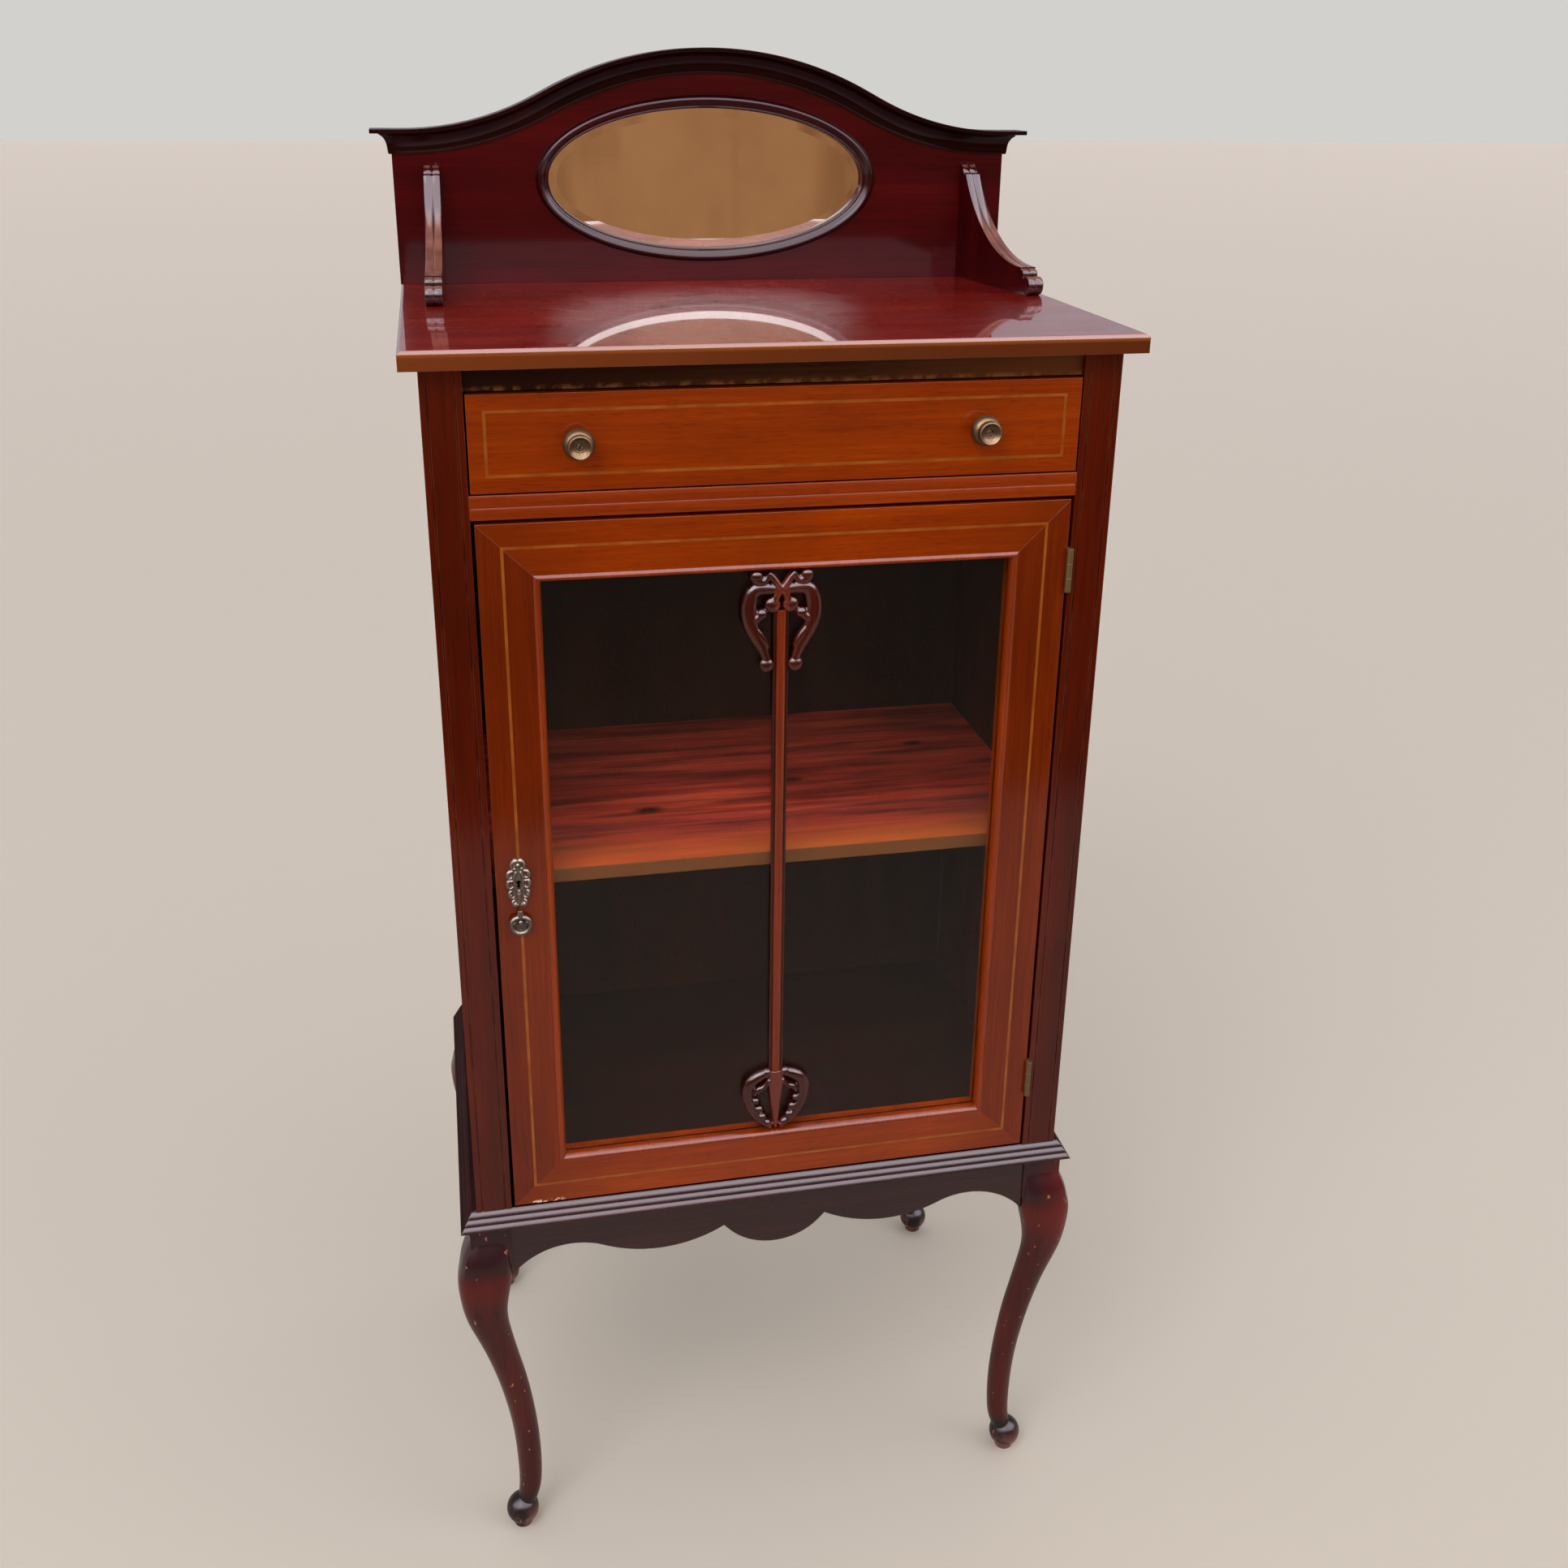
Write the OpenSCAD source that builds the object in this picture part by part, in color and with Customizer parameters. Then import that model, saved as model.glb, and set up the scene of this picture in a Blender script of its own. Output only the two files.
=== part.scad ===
// Glazed music cabinet on a cabriole stand, with one drawer and a mirrored gallery.
// Millimetres, +Z up. The front faces -Y, and the origin is under the middle of the whole cabinet.

/* [Carcass] */
// Width over the two sides
carcass_w = 560; // [500:5:660]
// Depth of the sides
carcass_d = 358; // [330:2:420]
// Height of the sides, from the stand to the top board
carcass_h = 773; // [740:1:860]
// Thickness of a side
side_t = 16; // [14:1:20]
// Face width of a front stile
stile_w = 32; // [28:1:40]
// Thickness of a front stile
stile_t = 20; // [20:1:24]
// Thickness of the back board
back_t = 8; // [6:1:12]
// Set-back of the back board from the rear edges of the sides
back_inset = 12; // [8:1:20]
// Thickness of the bottom board
bottom_t = 10; // [8:1:16]

/* [Top board] */
// Thickness of the top board
top_t = 15; // [12:1:20]
// Overhang of the top board at the front
top_front = 18; // [12:1:24]
// Overhang of the top board at each side
top_side = 14; // [8:1:22]
// Overhang of the top board at the back
top_back = 21; // [18:1:30]
// Width of the worn bevel along the upper edge
top_bevel = 2.5; // [1:0.5:4]

/* [Stand] */
// Height of the stand with its moulding
stand_h = 390; // [360:1:430]
// Height of the reeded base moulding
moulding_h = 16; // [14:1:20]
// How far the moulding stands out from the stand frame
moulding_out = 8; // [6:1:12]
// How far the stand frame stands out from the carcass at each side
frame_side = 8; // [5:1:12]
// How far the stand frame stands out in front of the carcass
frame_front = 2; // [0:0.5:5]
// Width of the square post at the top of a leg
post_w = 37; // [34:1:42]
// Length of the square post
post_h = 46; // [40:1:56]
// How far the knee stands out sideways from the post
knee_side = 14; // [8:1:20]
// How far the knee stands out forwards from the post
knee_front = 13; // [8:1:16]
// Distance from the post's outer face to the outside of the ankle
ankle_in = 31; // [24:1:36]
// Radius of the ankle
ankle_r = 12; // [10:0.5:14]
// Radius of the ball foot
ball_r = 16; // [14:0.5:19]
// Distance from the post's outer face to the centre of the ball foot
ball_in = 33; // [28:1:38]
// Radius of the pad under the ball foot
pad_r = 9; // [6:0.5:11]
// Height of the pad under the ball foot
pad_h = 4; // [2:0.5:6]
// Thickness of the aprons and the back rail
apron_t = 18; // [14:1:22]
// Depth of the aprons where they meet the legs
apron_h = 60; // [52:1:70]
// Depth of the front apron at the points beside its middle lobe
apron_waist = 34; // [28:1:40]
// Depth of the front apron at its two side lobes
apron_lobe = 51; // [46:1:54]

/* [Gallery] */
// Thickness of the gallery panel
panel_t = 16; // [12:1:18]
// Height of the panel above the top board, at its ends
panel_h = 139; // [134:1:170]
// Rise of the arch above the ends
arch_rise = 72; // [60:1:90]
// Length of the level stretch at each end of the arch
arch_flat = 10; // [4:1:30]
// Radius of the crown of the arch
arch_crown_r = 330; // [260:5:380]
// Height of the cornice moulding
cornice_h = 22; // [18:1:26]
// Projection of the cornice moulding
cornice_out = 18; // [12:1:24]
// Width of the glass seen in the oval
mirror_w = 304; // [260:2:330]
// Height of the glass seen in the oval
mirror_h = 128; // [110:2:136]
// Height of the middle of the oval above the top board
mirror_z = 94; // [88:1:100]
// Face width of the oval moulding
mirror_rim = 12; // [8:1:14]
// Thickness of the mirror glass
mirror_t = 4; // [3:0.5:5]
// Thickness of a bracket
bracket_t = 15; // [10:1:18]
// Reach of a bracket in front of the gallery panel
bracket_d = 156; // [130:2:180]
// Height of a bracket
bracket_h = 109; // [100:1:112]
// Distance from the end of the panel to the middle of a bracket
bracket_in = 35; // [24:1:50]
// Angle by which the left bracket splays outwards
splay_left = 2; // [0:1:10]
// Angle by which the right bracket splays outwards
splay_right = 8; // [0:1:10]

/* [Drawer] */
// Height of the rail above the drawer
top_rail_h = 20; // [14:1:26]
// Set-back of the rail above the drawer
top_rail_in = 6; // [2:1:12]
// Height of the drawer front
drawer_h = 76.5; // [66:0.5:90]
// Height of the rail under the drawer
drawer_rail_h = 20; // [16:1:26]
// Front-to-back width of both rails
rail_d = 52; // [40:1:70]
// Thickness of the drawer front
drawer_front_t = 20; // [16:1:22]
// Thickness of the drawer sides and back
drawer_side_t = 9; // [7:1:12]
// Thickness of the drawer bottom
drawer_bottom_t = 5; // [4:0.5:7]
// Space behind the closed drawer
drawer_space = 22; // [16:1:80]
// Clearance at each side of the drawer
drawer_gap = 1.5; // [1:0.1:2.5]
// Spacing of the two knobs
knob_spacing = 326; // [240:2:360]
// Radius of a knob
knob_r = 12.5; // [10:0.5:15]
// How far a knob stands out
knob_out = 24; // [20:1:30]

/* [Door] */
// Thickness of the door frame
door_t = 19; // [17:0.5:20]
// Clearance at each side of the door
door_gap = 3; // [2.6:0.1:4]
// Face width of the door's stiles and rails
door_frame_w = 43; // [38:1:50]
// Width of the glazing bead
bead_w = 6; // [5:0.5:8]
// Thickness of the door glass
glass_t = 3; // [2:0.5:4]
// Distance of the inlaid line from the edges of the door
string_in = 19; // [14:1:24]
// Width of the inlaid line
string_w = 1.6; // [1:0.1:2.4]
// Distance of the inlaid line from the edges of the drawer front
drawer_string_in = 12.5; // [9:0.5:16]
// Width of the reeded bar in front of the glass
bar_w = 13; // [10:0.5:16]
// Width of the carvings at the ends of the bar
carving_w = 62; // [54:1:70]
// Height of the upper carving
carving_top_h = 88; // [80:1:96]
// Height of the lower carving
carving_low_h = 68; // [60:1:76]

/* [Shelf] */
// Height of the top of the shelf above the stand
shelf_z = 334; // [200:1:440]
// Thickness of the shelf
shelf_t = 12.5; // [10:0.5:18]
// Set-back of the shelf from the front of the stiles
shelf_in = 24; // [22:1:40]
// Width and height of a shelf bearer
bearer = 12; // [8:1:16]

/* [Hardware] */
// Length of a hinge
hinge_len = 38; // [32:1:50]
// Distance from the top of the door to the middle of the upper hinge
hinge_top = 61; // [50:1:90]
// Distance from the bottom of the door to the middle of the lower hinge
hinge_low = 77; // [50:1:110]
// Radius of a hinge knuckle
knuckle_r = 3; // [2.5:0.1:3.4]
// Radius of a hinge pin
pin_r = 1.2; // [1:0.1:1.6]
// Thickness of a hinge leaf
leaf_t = 1.2; // [0.8:0.1:1.2]
// Width of a hinge leaf
leaf_w = 15; // [12:0.5:16]
// Height of the keyhole above the bottom of the door
key_z = 335; // [280:1:380]
// Distance from the keyhole to the edge of the door
key_in = 19; // [17:1:24]
// Width of the escutcheon
plate_w = 20; // [18:0.5:22]
// Height of the escutcheon above and below the keyhole
plate_h = 22; // [20:0.5:24]
// Length of the drop pull
pull_len = 22; // [18:0.5:26]
// Width of the drop pull
pull_w = 19; // [16:0.5:22]
// Throw of the lock bolt that its mortise has room for
bolt_throw = 7; // [5:0.5:8]

/* [Hidden] */
$fn = 48;

// Colours, as the finished wood and metal show
mahogany = "#6a2410";
warm_mahogany = "#8a3a14";
dark_mahogany = "#4a1a12";
stand_wood = "#3c2226";
softwood = "#6e5030";
line_wood = "#a0521e";
brass = "#9a8a66";

// Fits and small fixed sizes
slide_gap = 0.3;       // under the drawer sides
joint_gap = 1.5;       // under and over the drawer front
seat_gap = 0.3;        // between a moving face and the piece that it closes on
pin_fit = 0.05;        // radial clearance of a pivot
screw_r = 1.3;         // wood screw shank
line_depth = 1;        // depth of the inlaid lines
bead_groove = 1.2;     // width of the cut line beside a bead
bead_edge = 5;         // distance of that line from the edge of the wood
front_bead_y = 1.5;    // set-back of the glazing bead from the door's face
eps = 0.01;            // extra length of a cutting tool

// Heights, from the floor up
frame_z = stand_h - moulding_h;
top_z = stand_h + carcass_h;
surface_z = top_z + top_t;
drawer_z1 = top_z - top_rail_h - joint_gap;
drawer_z0 = drawer_z1 - drawer_h;
rail_z1 = drawer_z0 - joint_gap;
rail_z0 = rail_z1 - drawer_rail_h;
door_z1 = rail_z0 - door_gap;
door_z0 = stand_h + door_gap;
door_h = door_z1 - door_z0;

// Widths, as distances from the middle
half_w = carcass_w / 2;
half_in = half_w - side_t;
half_open = half_w - stile_w;
half_door = half_open - door_gap;
half_drawer = half_open - drawer_gap;
half_sight = half_door - door_frame_w;
half_glass = half_sight - bead_w;
half_top = half_w + top_side;
half_frame = half_w + frame_side;

// Depths, from the front face of the stiles
back_y = carcass_d - back_inset - back_t;
panel_y1 = carcass_d + top_back;
panel_y0 = panel_y1 - panel_t;
frame_y0 = -frame_front;
frame_y1 = carcass_d;
glass_y0 = front_bead_y + bead_w;
glass_y1 = glass_y0 + glass_t;

// The whole cabinet stands over the origin
front_reach = max(knob_out, top_front, frame_front + moulding_out, frame_front + knee_front);
back_reach = max(panel_y1, frame_y1 + knee_front);
shift_y = (front_reach - back_reach) / 2;
module placed() translate([0, shift_y, 0]) children();

// Box between two corners
module block(a, b) translate(a) cube(b - a);

// Screw or pin along +Y from its head, and one along +X
module screw_y(p, l, r = screw_r) {
  translate(p) rotate([-90, 0, 0]) cylinder(r = r, h = l);
  translate(p) rotate([-90, 0, 0]) cylinder(r1 = 2 * r, r2 = r, h = r);
}

// Points of an arc, an ellipse and a smooth curve through given points
function arc(c, r, a0, a1, n) = [for (i = [0:n]) c + r * [cos(a0 + (a1 - a0) * i / n), sin(a0 + (a1 - a0) * i / n)]];
function oval(a, b, n = 72) = [for (i = [0:n - 1]) [a * cos(360 * i / n), b * sin(360 * i / n)]];
function blend(a, b, c, d, t) =
  (2 * b + (c - a) * t + (2 * a - 5 * b + 4 * c - d) * t * t + (3 * b - a - 3 * c + d) * t * t * t) / 2;
function smooth(p, n) = concat(
  [for (i = [0:len(p) - 2], j = [0:n - 1])
    blend(p[max(i - 1, 0)], p[i], p[i + 1], p[min(i + 2, len(p) - 1)], j / n)],
  [p[len(p) - 1]]);

// Outline of a stroke along a curve; each point is [x, z, width]
function side_step(p, i) =
  let (d = p[min(i + 1, len(p) - 1)] - p[max(i - 1, 0)], l = norm([d[0], d[1]]))
  [-d[1], d[0]] / l * p[i][2] / 2;
function stroke(p) = concat(
  [for (i = [0:len(p) - 1]) [p[i][0], p[i][1]] + side_step(p, i)],
  [for (i = [len(p) - 1:-1:0]) [p[i][0], p[i][1]] - side_step(p, i)]);

// Surface through rings of points, closed at both ends
module skin(rings) {
  n = len(rings[0]);
  m = len(rings);
  polyhedron(
    points = [for (r = rings) each r],
    faces = concat(
      [for (i = [1:n - 2]) [0, i, i + 1]],
      [for (k = [0:m - 2], i = [0:n - 1]) [k * n + i, (k + 1) * n + i, k * n + (i + 1) % n]],
      [for (k = [0:m - 2], i = [0:n - 1]) [k * n + (i + 1) % n, (k + 1) * n + i, (k + 1) * n + (i + 1) % n]],
      [for (i = [1:n - 2]) [(m - 1) * n, (m - 1) * n + i + 1, (m - 1) * n + i]]));
}

// Upright plate: an outline in X and Z, from depth y0 to y1
module upright(y0, y1) translate([0, y1, 0]) rotate([90, 0, 0]) linear_extrude(y1 - y0) children();

// Legs, from the foot up. A ring is
// [height share, inward x of the outer side, inward y of the front, half width, half depth, squareness]
knee_r = post_w / 2 + 6.5;
leg_rows = [
  [0.06, ball_in + 5 - ankle_r, -3, ankle_r - 3, ankle_r - 3, 2],
  [0.12, ankle_in, -3, ankle_r - 1.2, ankle_r - 1.7, 2],
  [0.227, ankle_in, -2.3, ankle_r - 0.2, ankle_r - 0.8, 2],
  [0.348, ankle_in * 0.887, -2.5, ankle_r + 0.3, ankle_r - 0.2, 2],
  [0.481, ankle_in * 0.594, -3.5, ankle_r + 1.6, ankle_r + 0.3, 2.1],
  [0.602, ankle_in * 0.194, -5.5, ankle_r + 3.2, ankle_r + 1.2, 2.2],
  [0.722, -knee_side * 0.65, -knee_front * 0.8, knee_r - 5.4, knee_r - 10, 2.4],
  [0.824, -knee_side, -knee_front, knee_r, knee_r - 5.5, 2.9],
  [0.87, -knee_side * 0.82, -knee_front * 0.82, knee_r - 0.8, knee_r - 2.8, 3.6],
  [0.909, -knee_side * 0.54, -knee_front * 0.54, knee_r - 3, knee_r - 3.3, 4.5],
  [0.955, 1, 1, post_w / 2 - 1, post_w / 2 - 1, 6]
];
foot_front = 6;        // distance from the post's front face to the centre of the ball foot
function power_circle(rx, ry, e, n = 24) = [for (i = [0:n - 1])
  let (a = 360 * i / n, c = cos(a), s = sin(a), k = pow(pow(abs(c), e) + pow(abs(s), e), -1 / e))
  [rx * k * c, ry * k * s]];
module leg_shape() {
  rings = [for (q = smooth(leg_rows, 3))
    [for (p = power_circle(q[3], q[4], q[5])) [q[1] + q[3] + p[0], q[2] + q[4] + p[1], q[0] * frame_z]]];
  block([0, 0, frame_z - post_h], [post_w, post_w, frame_z]);
  skin(rings);
  translate([ball_in, foot_front, 0]) cylinder(r = pad_r, h = pad_h + ball_r / 2);
  translate([ball_in, foot_front, pad_h + ball_r * 0.9]) sphere(r = ball_r);
}
// A leg at the corner on side sx (-1 left, 1 right) and end sy (-1 front, 1 back)
module leg(sx, sy) placed() color(stand_wood)
  translate([sx * half_frame, sy < 0 ? frame_y0 : frame_y1, 0])
  mirror([sx > 0 ? 1 : 0, 0, 0]) mirror([0, sy > 0 ? 1 : 0, 0]) leg_shape();
module leg_front_left() leg(-1, -1);
module leg_front_right() leg(1, -1);
module leg_back_left() leg(-1, 1);
module leg_back_right() leg(1, 1);

// Aprons, back rail and glue blocks of the stand
apron_set = 2;         // set-back of the aprons from the post faces
half_apron = half_frame - post_w;
lobe_x = half_apron * 0.195;
side_lobe_x = half_apron * 0.445;
arch_x = half_apron * 0.775;
function curve_drop(w, h, x) = let (r = (w * w + h * h) / (2 * h)) r - sqrt(r * r - x * x);
// Depth of the apron's lower edge at distance x from the middle
function apron_edge(x) =
  x <= lobe_x ? apron_h - curve_drop(lobe_x, apron_h - apron_waist, x)
  : x <= (side_lobe_x + arch_x) / 2 + 14
  ? apron_lobe - curve_drop(side_lobe_x - lobe_x, apron_lobe - apron_waist, x - side_lobe_x)
  : apron_waist - 1.5 + curve_drop(half_apron - arch_x, apron_h - apron_waist + 1.5, x - arch_x);
apron_steps = 56;
module apron_front() placed() color(stand_wood)
  upright(frame_y0 + apron_set, frame_y0 + apron_set + apron_t) polygon(concat(
    [[half_apron, frame_z], [-half_apron, frame_z]],
    [for (i = [-apron_steps:apron_steps])
      let (x = half_apron * i / apron_steps) [x, frame_z - apron_edge(abs(x))]]));
module side_apron(sx) placed() color(stand_wood)
  translate([sx > 0 ? half_frame - apron_set - apron_t : apron_set - half_frame, 0, 0])
  rotate([90, 0, 90]) linear_extrude(apron_t)
  polygon(concat(
    [[frame_y1 - post_w, frame_z], [frame_y0 + post_w, frame_z]],
    [for (i = [0:24]) let (s = i / 24)
      [frame_y0 + post_w + s * (frame_y1 - frame_y0 - 2 * post_w), frame_z - apron_h + 22 * sin(180 * s)]]));
module apron_left() side_apron(-1);
module apron_right() side_apron(1);
module stand_back_rail() placed() color(stand_wood)
  block([-half_apron, frame_y1 - apron_set - apron_t, frame_z - apron_waist - 8],
        [half_apron, frame_y1 - apron_set, stand_h]);
block_leg = 50;        // leg of a triangular glue block
block_h = 26;          // height of a glue block
module corner_blocks() placed() color(softwood)
  for (sx = [-1, 1], sy = [-1, 1])
    translate([sx * (half_frame - apron_set - apron_t), sy < 0 ? frame_y0 + apron_set + apron_t
               : frame_y1 - apron_set - apron_t, frame_z - block_h])
    difference() {
      linear_extrude(block_h) polygon([[0, 0], [-sx * block_leg, 0], [0, -sy * block_leg]]);
      post = post_w - apron_set - apron_t + eps;
      translate([sx > 0 ? -post : -eps, sy > 0 ? -post : -eps, -eps]) cube([post + eps, post + eps, block_h + 1]);
    }

// Reeded base moulding, mitred at the two front corners
moulding_in = 24;      // width of the moulding behind the carcass face
reed_r = moulding_h / 6.2;
module moulding_profile(depth) {
  // outer edge at 0, growing inwards
  translate([reed_r * 1.5, 0]) square([depth - reed_r * 1.5, moulding_h]);
  for (i = [0:2]) translate([reed_r * (i == 2 ? 1.9 : 1), moulding_h * (2 * i + 1) / 6]) circle(r = reed_r);
}
moulding_depth = moulding_out + frame_front + moulding_in;
side_depth = moulding_out + frame_side + moulding_in;
half_moulding = half_frame + moulding_out;
moulding_y0 = frame_y0 - moulding_out;
module base_moulding_front() placed() color(stand_wood) intersection() {
  translate([-half_moulding, moulding_y0, frame_z]) rotate([90, 0, 90])
    linear_extrude(2 * half_moulding) moulding_profile(moulding_depth);
  translate([0, 0, frame_z - 1]) linear_extrude(moulding_h + 2) polygon([
    [-half_moulding, moulding_y0], [half_moulding, moulding_y0],
    [half_moulding - side_depth, moulding_y0 + moulding_depth],
    [side_depth - half_moulding, moulding_y0 + moulding_depth]]);
}
module base_moulding_sides() placed() color(stand_wood) for (sx = [-1, 1]) mirror([sx > 0 ? 1 : 0, 0, 0])
  intersection() {
    translate([-half_moulding, frame_y1, frame_z]) rotate([90, 0, 0])
      linear_extrude(frame_y1 - moulding_y0) moulding_profile(side_depth);
    translate([0, 0, frame_z - 1]) linear_extrude(moulding_h + 2) polygon([
      [-half_moulding, moulding_y0], [side_depth - half_moulding, moulding_y0 + moulding_depth],
      [side_depth - half_moulding, frame_y1], [-half_moulding, frame_y1]]);
  }

// Sides, bottom and back of the carcass
module side_board(sx) placed() color(mahogany)
  block([sx > 0 ? half_in : -half_w, stile_t, stand_h], [sx > 0 ? half_w : -half_in, carcass_d, top_z]);
module side_left() side_board(-1);
module side_right() side_board(1);
module bottom_board() placed() color(softwood)
  block([-half_in, stile_t, stand_h], [half_in, back_y, stand_h + bottom_t]);
module back_board() placed() color(softwood)
  block([-half_in, back_y, stand_h], [half_in, back_y + back_t, top_z]);

// Front stiles with a cut line beside each edge
module stile_shape(x0) difference() {
  block([x0, 0, stand_h], [x0 + stile_w, stile_t, top_z]);
  for (x = [x0 + bead_edge, x0 + stile_w - bead_edge - bead_groove])
    block([x, -eps, stand_h - 1], [x + bead_groove, line_depth, top_z + 1]);
}
bolt_h = 12;           // height of the bolt
bolt_t = 4;            // thickness of the bolt
bolt_y = door_t / 2;   // depth of the middle of the bolt
lock_z = door_z0 + key_z;
module stile_left() placed() color(dark_mahogany) difference() {
  stile_shape(-half_w);
  // mortise that takes the thrown bolt
  block([-half_open - bolt_throw, bolt_y - bolt_t / 2 - 0.5, lock_z - bolt_h / 2 - 0.5],
        [-half_open + 1, bolt_y + bolt_t / 2 + 0.5, lock_z + bolt_h / 2 + 0.5]);
}
module stile_right() placed() color(dark_mahogany) difference() {
  stile_shape(half_open);
  hinge_screw_shapes(1);
}

// Rails above and below the drawer, notched behind the stiles
module rail_shape(y0, z0, z1) translate([0, 0, z0]) linear_extrude(z1 - z0) polygon([
  [-half_open, y0], [half_open, y0], [half_open, stile_t], [half_in, stile_t],
  [half_in, y0 + rail_d], [-half_in, y0 + rail_d], [-half_in, stile_t], [-half_open, stile_t]]);
module top_rail() placed() color(softwood) rail_shape(top_rail_in, top_z - top_rail_h, top_z);
module drawer_rail() placed() color(warm_mahogany) difference() {
  rail_shape(0, rail_z0, rail_z1);
  for (z = [rail_z0 + bead_edge, rail_z1 - bead_edge - bead_groove])
    block([-half_open - 1, -eps, z], [half_open + 1, line_depth, z + bead_groove]);
}

// Runners that carry and guide the drawer, and kickers that keep it level
runner_w = 30;         // width of a runner under the drawer side
runner_h = 12;         // height of a runner
guide_h = 24;          // height of the guide beside the drawer
module drawer_runners() placed() color(softwood) for (sx = [-1, 1]) mirror([sx < 0 ? 1 : 0, 0, 0]) {
  block([half_in - runner_w, rail_d, rail_z1 - runner_h], [half_in, back_y, rail_z1]);
  block([half_drawer + drawer_gap, rail_d, rail_z1], [half_in, back_y, rail_z1 + guide_h]);
}
module drawer_kickers() placed() color(softwood) for (sx = [-1, 1]) mirror([sx < 0 ? 1 : 0, 0, 0])
  block([half_in - runner_w, top_rail_in + rail_d, top_z - top_rail_h], [half_in, back_y, top_z]);

// Shelf on two bearers
shelf_top = stand_h + shelf_z;
module shelf() placed() color("#7a2c1e")
  block([-half_in, shelf_in, shelf_top - shelf_t], [half_in, back_y, shelf_top]);
module shelf_bearers() placed() color(softwood) for (sx = [-1, 1]) mirror([sx < 0 ? 1 : 0, 0, 0])
  block([half_in - bearer, shelf_in + bearer, shelf_top - shelf_t - bearer],
        [half_in, back_y - bearer, shelf_top - shelf_t]);

// Top board with a bevelled upper edge at the front and the sides
module top_board() placed() color(mahogany) difference() {
  intersection() {
    translate([-half_top, 0, 0]) rotate([90, 0, 90]) linear_extrude(2 * half_top) polygon([
      [-top_front, top_z], [panel_y1, top_z], [panel_y1, surface_z],
      [top_bevel - top_front, surface_z], [-top_front, surface_z - top_bevel]]);
    upright(-top_front - 1, panel_y1 + 1) polygon([
      [-half_top, top_z], [half_top, top_z], [half_top, surface_z - top_bevel],
      [half_top - top_bevel, surface_z], [top_bevel - half_top, surface_z],
      [-half_top, surface_z - top_bevel]]);
  }
  gallery_screw_shapes();
}

// Arch of the gallery: two arcs that meet on a slope
arch_half = half_top - arch_flat;
arch_angle = 2 * atan(arch_rise / arch_half);
arch_flank_r = arch_half / sin(arch_angle) - arch_crown_r;
panel_z1 = surface_z + panel_h;
function arch_z(x) =
  abs(x) >= arch_half ? 0
  : abs(x) <= arch_crown_r * sin(arch_angle) ? arch_rise - arch_crown_r + sqrt(pow(arch_crown_r, 2) - x * x)
  : arch_flank_r - sqrt(pow(arch_flank_r, 2) - pow(arch_half - abs(x), 2));
function arch_slope(x) = (arch_z(x + 0.1) - arch_z(x - 0.1)) / 0.2;
arch_steps = 22;
run_half = half_top - arch_flat / 2;
arch_xs = [for (i = [-arch_steps:arch_steps]) run_half * i / arch_steps];

// Panel with the oval opening, rebated at the back for the mirror and its board
oval_z = surface_z + mirror_z;
rebate_w = 7;          // width of the rebate round the opening
nose_w = 5;            // part of the moulding that lies in the opening
nose_d = 6;            // depth of that part
module at_oval() translate([0, oval_z]) children();
module gallery_panel() placed() color(mahogany) difference() {
  upright(panel_y0, panel_y1) difference() {
    polygon(concat(
      [[half_top, surface_z], [-half_top, surface_z], [-half_top, panel_z1]],
      [for (x = arch_xs) [x, panel_z1 + arch_z(x)]], [[half_top, panel_z1]]));
    at_oval() polygon(oval(mirror_w / 2 + nose_w, mirror_h / 2 + nose_w));
  }
  upright(panel_y0 + nose_d, panel_y1 + 1) at_oval()
    polygon(oval(mirror_w / 2 + nose_w + rebate_w, mirror_h / 2 + nose_w + rebate_w));
  gallery_screw_shapes();
}
module oval_plate(y0, y1) upright(y0, y1) at_oval()
  polygon(oval(mirror_w / 2 + nose_w + rebate_w - 0.5, mirror_h / 2 + nose_w + rebate_w - 0.5));
module mirror_glass() placed() color("silver") oval_plate(panel_y0 + nose_d, panel_y0 + nose_d + mirror_t);
module mirror_backboard() placed() color(softwood) oval_plate(panel_y0 + nose_d + mirror_t, panel_y1);

// Oval moulding: each ring is [inner share of the rim, outer share, front y]
module mirror_moulding() placed() color(dark_mahogany) {
  oval_ring(0, nose_w, panel_y0 - 1.5, panel_y0 + nose_d);
  oval_ring(2, mirror_rim, panel_y0 - 3, panel_y0);
  oval_ring(4, mirror_rim - 2, panel_y0 - 5, panel_y0 - 3 + eps);
}
module oval_ring(a, b, y0, y1) upright(y0, y1) at_oval() difference() {
  polygon(oval(mirror_w / 2 + b, mirror_h / 2 + b));
  polygon(oval(mirror_w / 2 + a, mirror_h / 2 + a));
}

// Cornice: cap, cove and fillet swept along the arch and returned round both ends
cornice_section = concat(
  [[0, 0], [1, 0], [1, 0.17], [0.62, 0.2]],
  [for (i = [1:5]) [0.62 - 0.44 * sin(18 * i), 0.82 - 0.6 * cos(18 * i)]],
  [[0.18, 0.9], [0.14, 1], [0, 1]]);
function run_ring(x) = let (s = arch_slope(x), l = norm([1, s])) [for (q = cornice_section)
  [x + s / l * q[1] * cornice_h, panel_y0 - q[0] * cornice_out,
   panel_z1 + arch_z(x) - q[1] * cornice_h / l]];
function end_ring(sx, back) = [for (q = cornice_section)
  [sx * (half_top + q[0] * cornice_out), back ? panel_y1 : panel_y0 - q[0] * cornice_out,
   panel_z1 - q[1] * cornice_h]];
module cornice() placed() color(dark_mahogany)
  skin(concat([end_ring(-1, true), end_ring(-1, false)], [for (x = arch_xs) run_ring(x)],
              [end_ring(1, false), end_ring(1, true)]));

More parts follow.
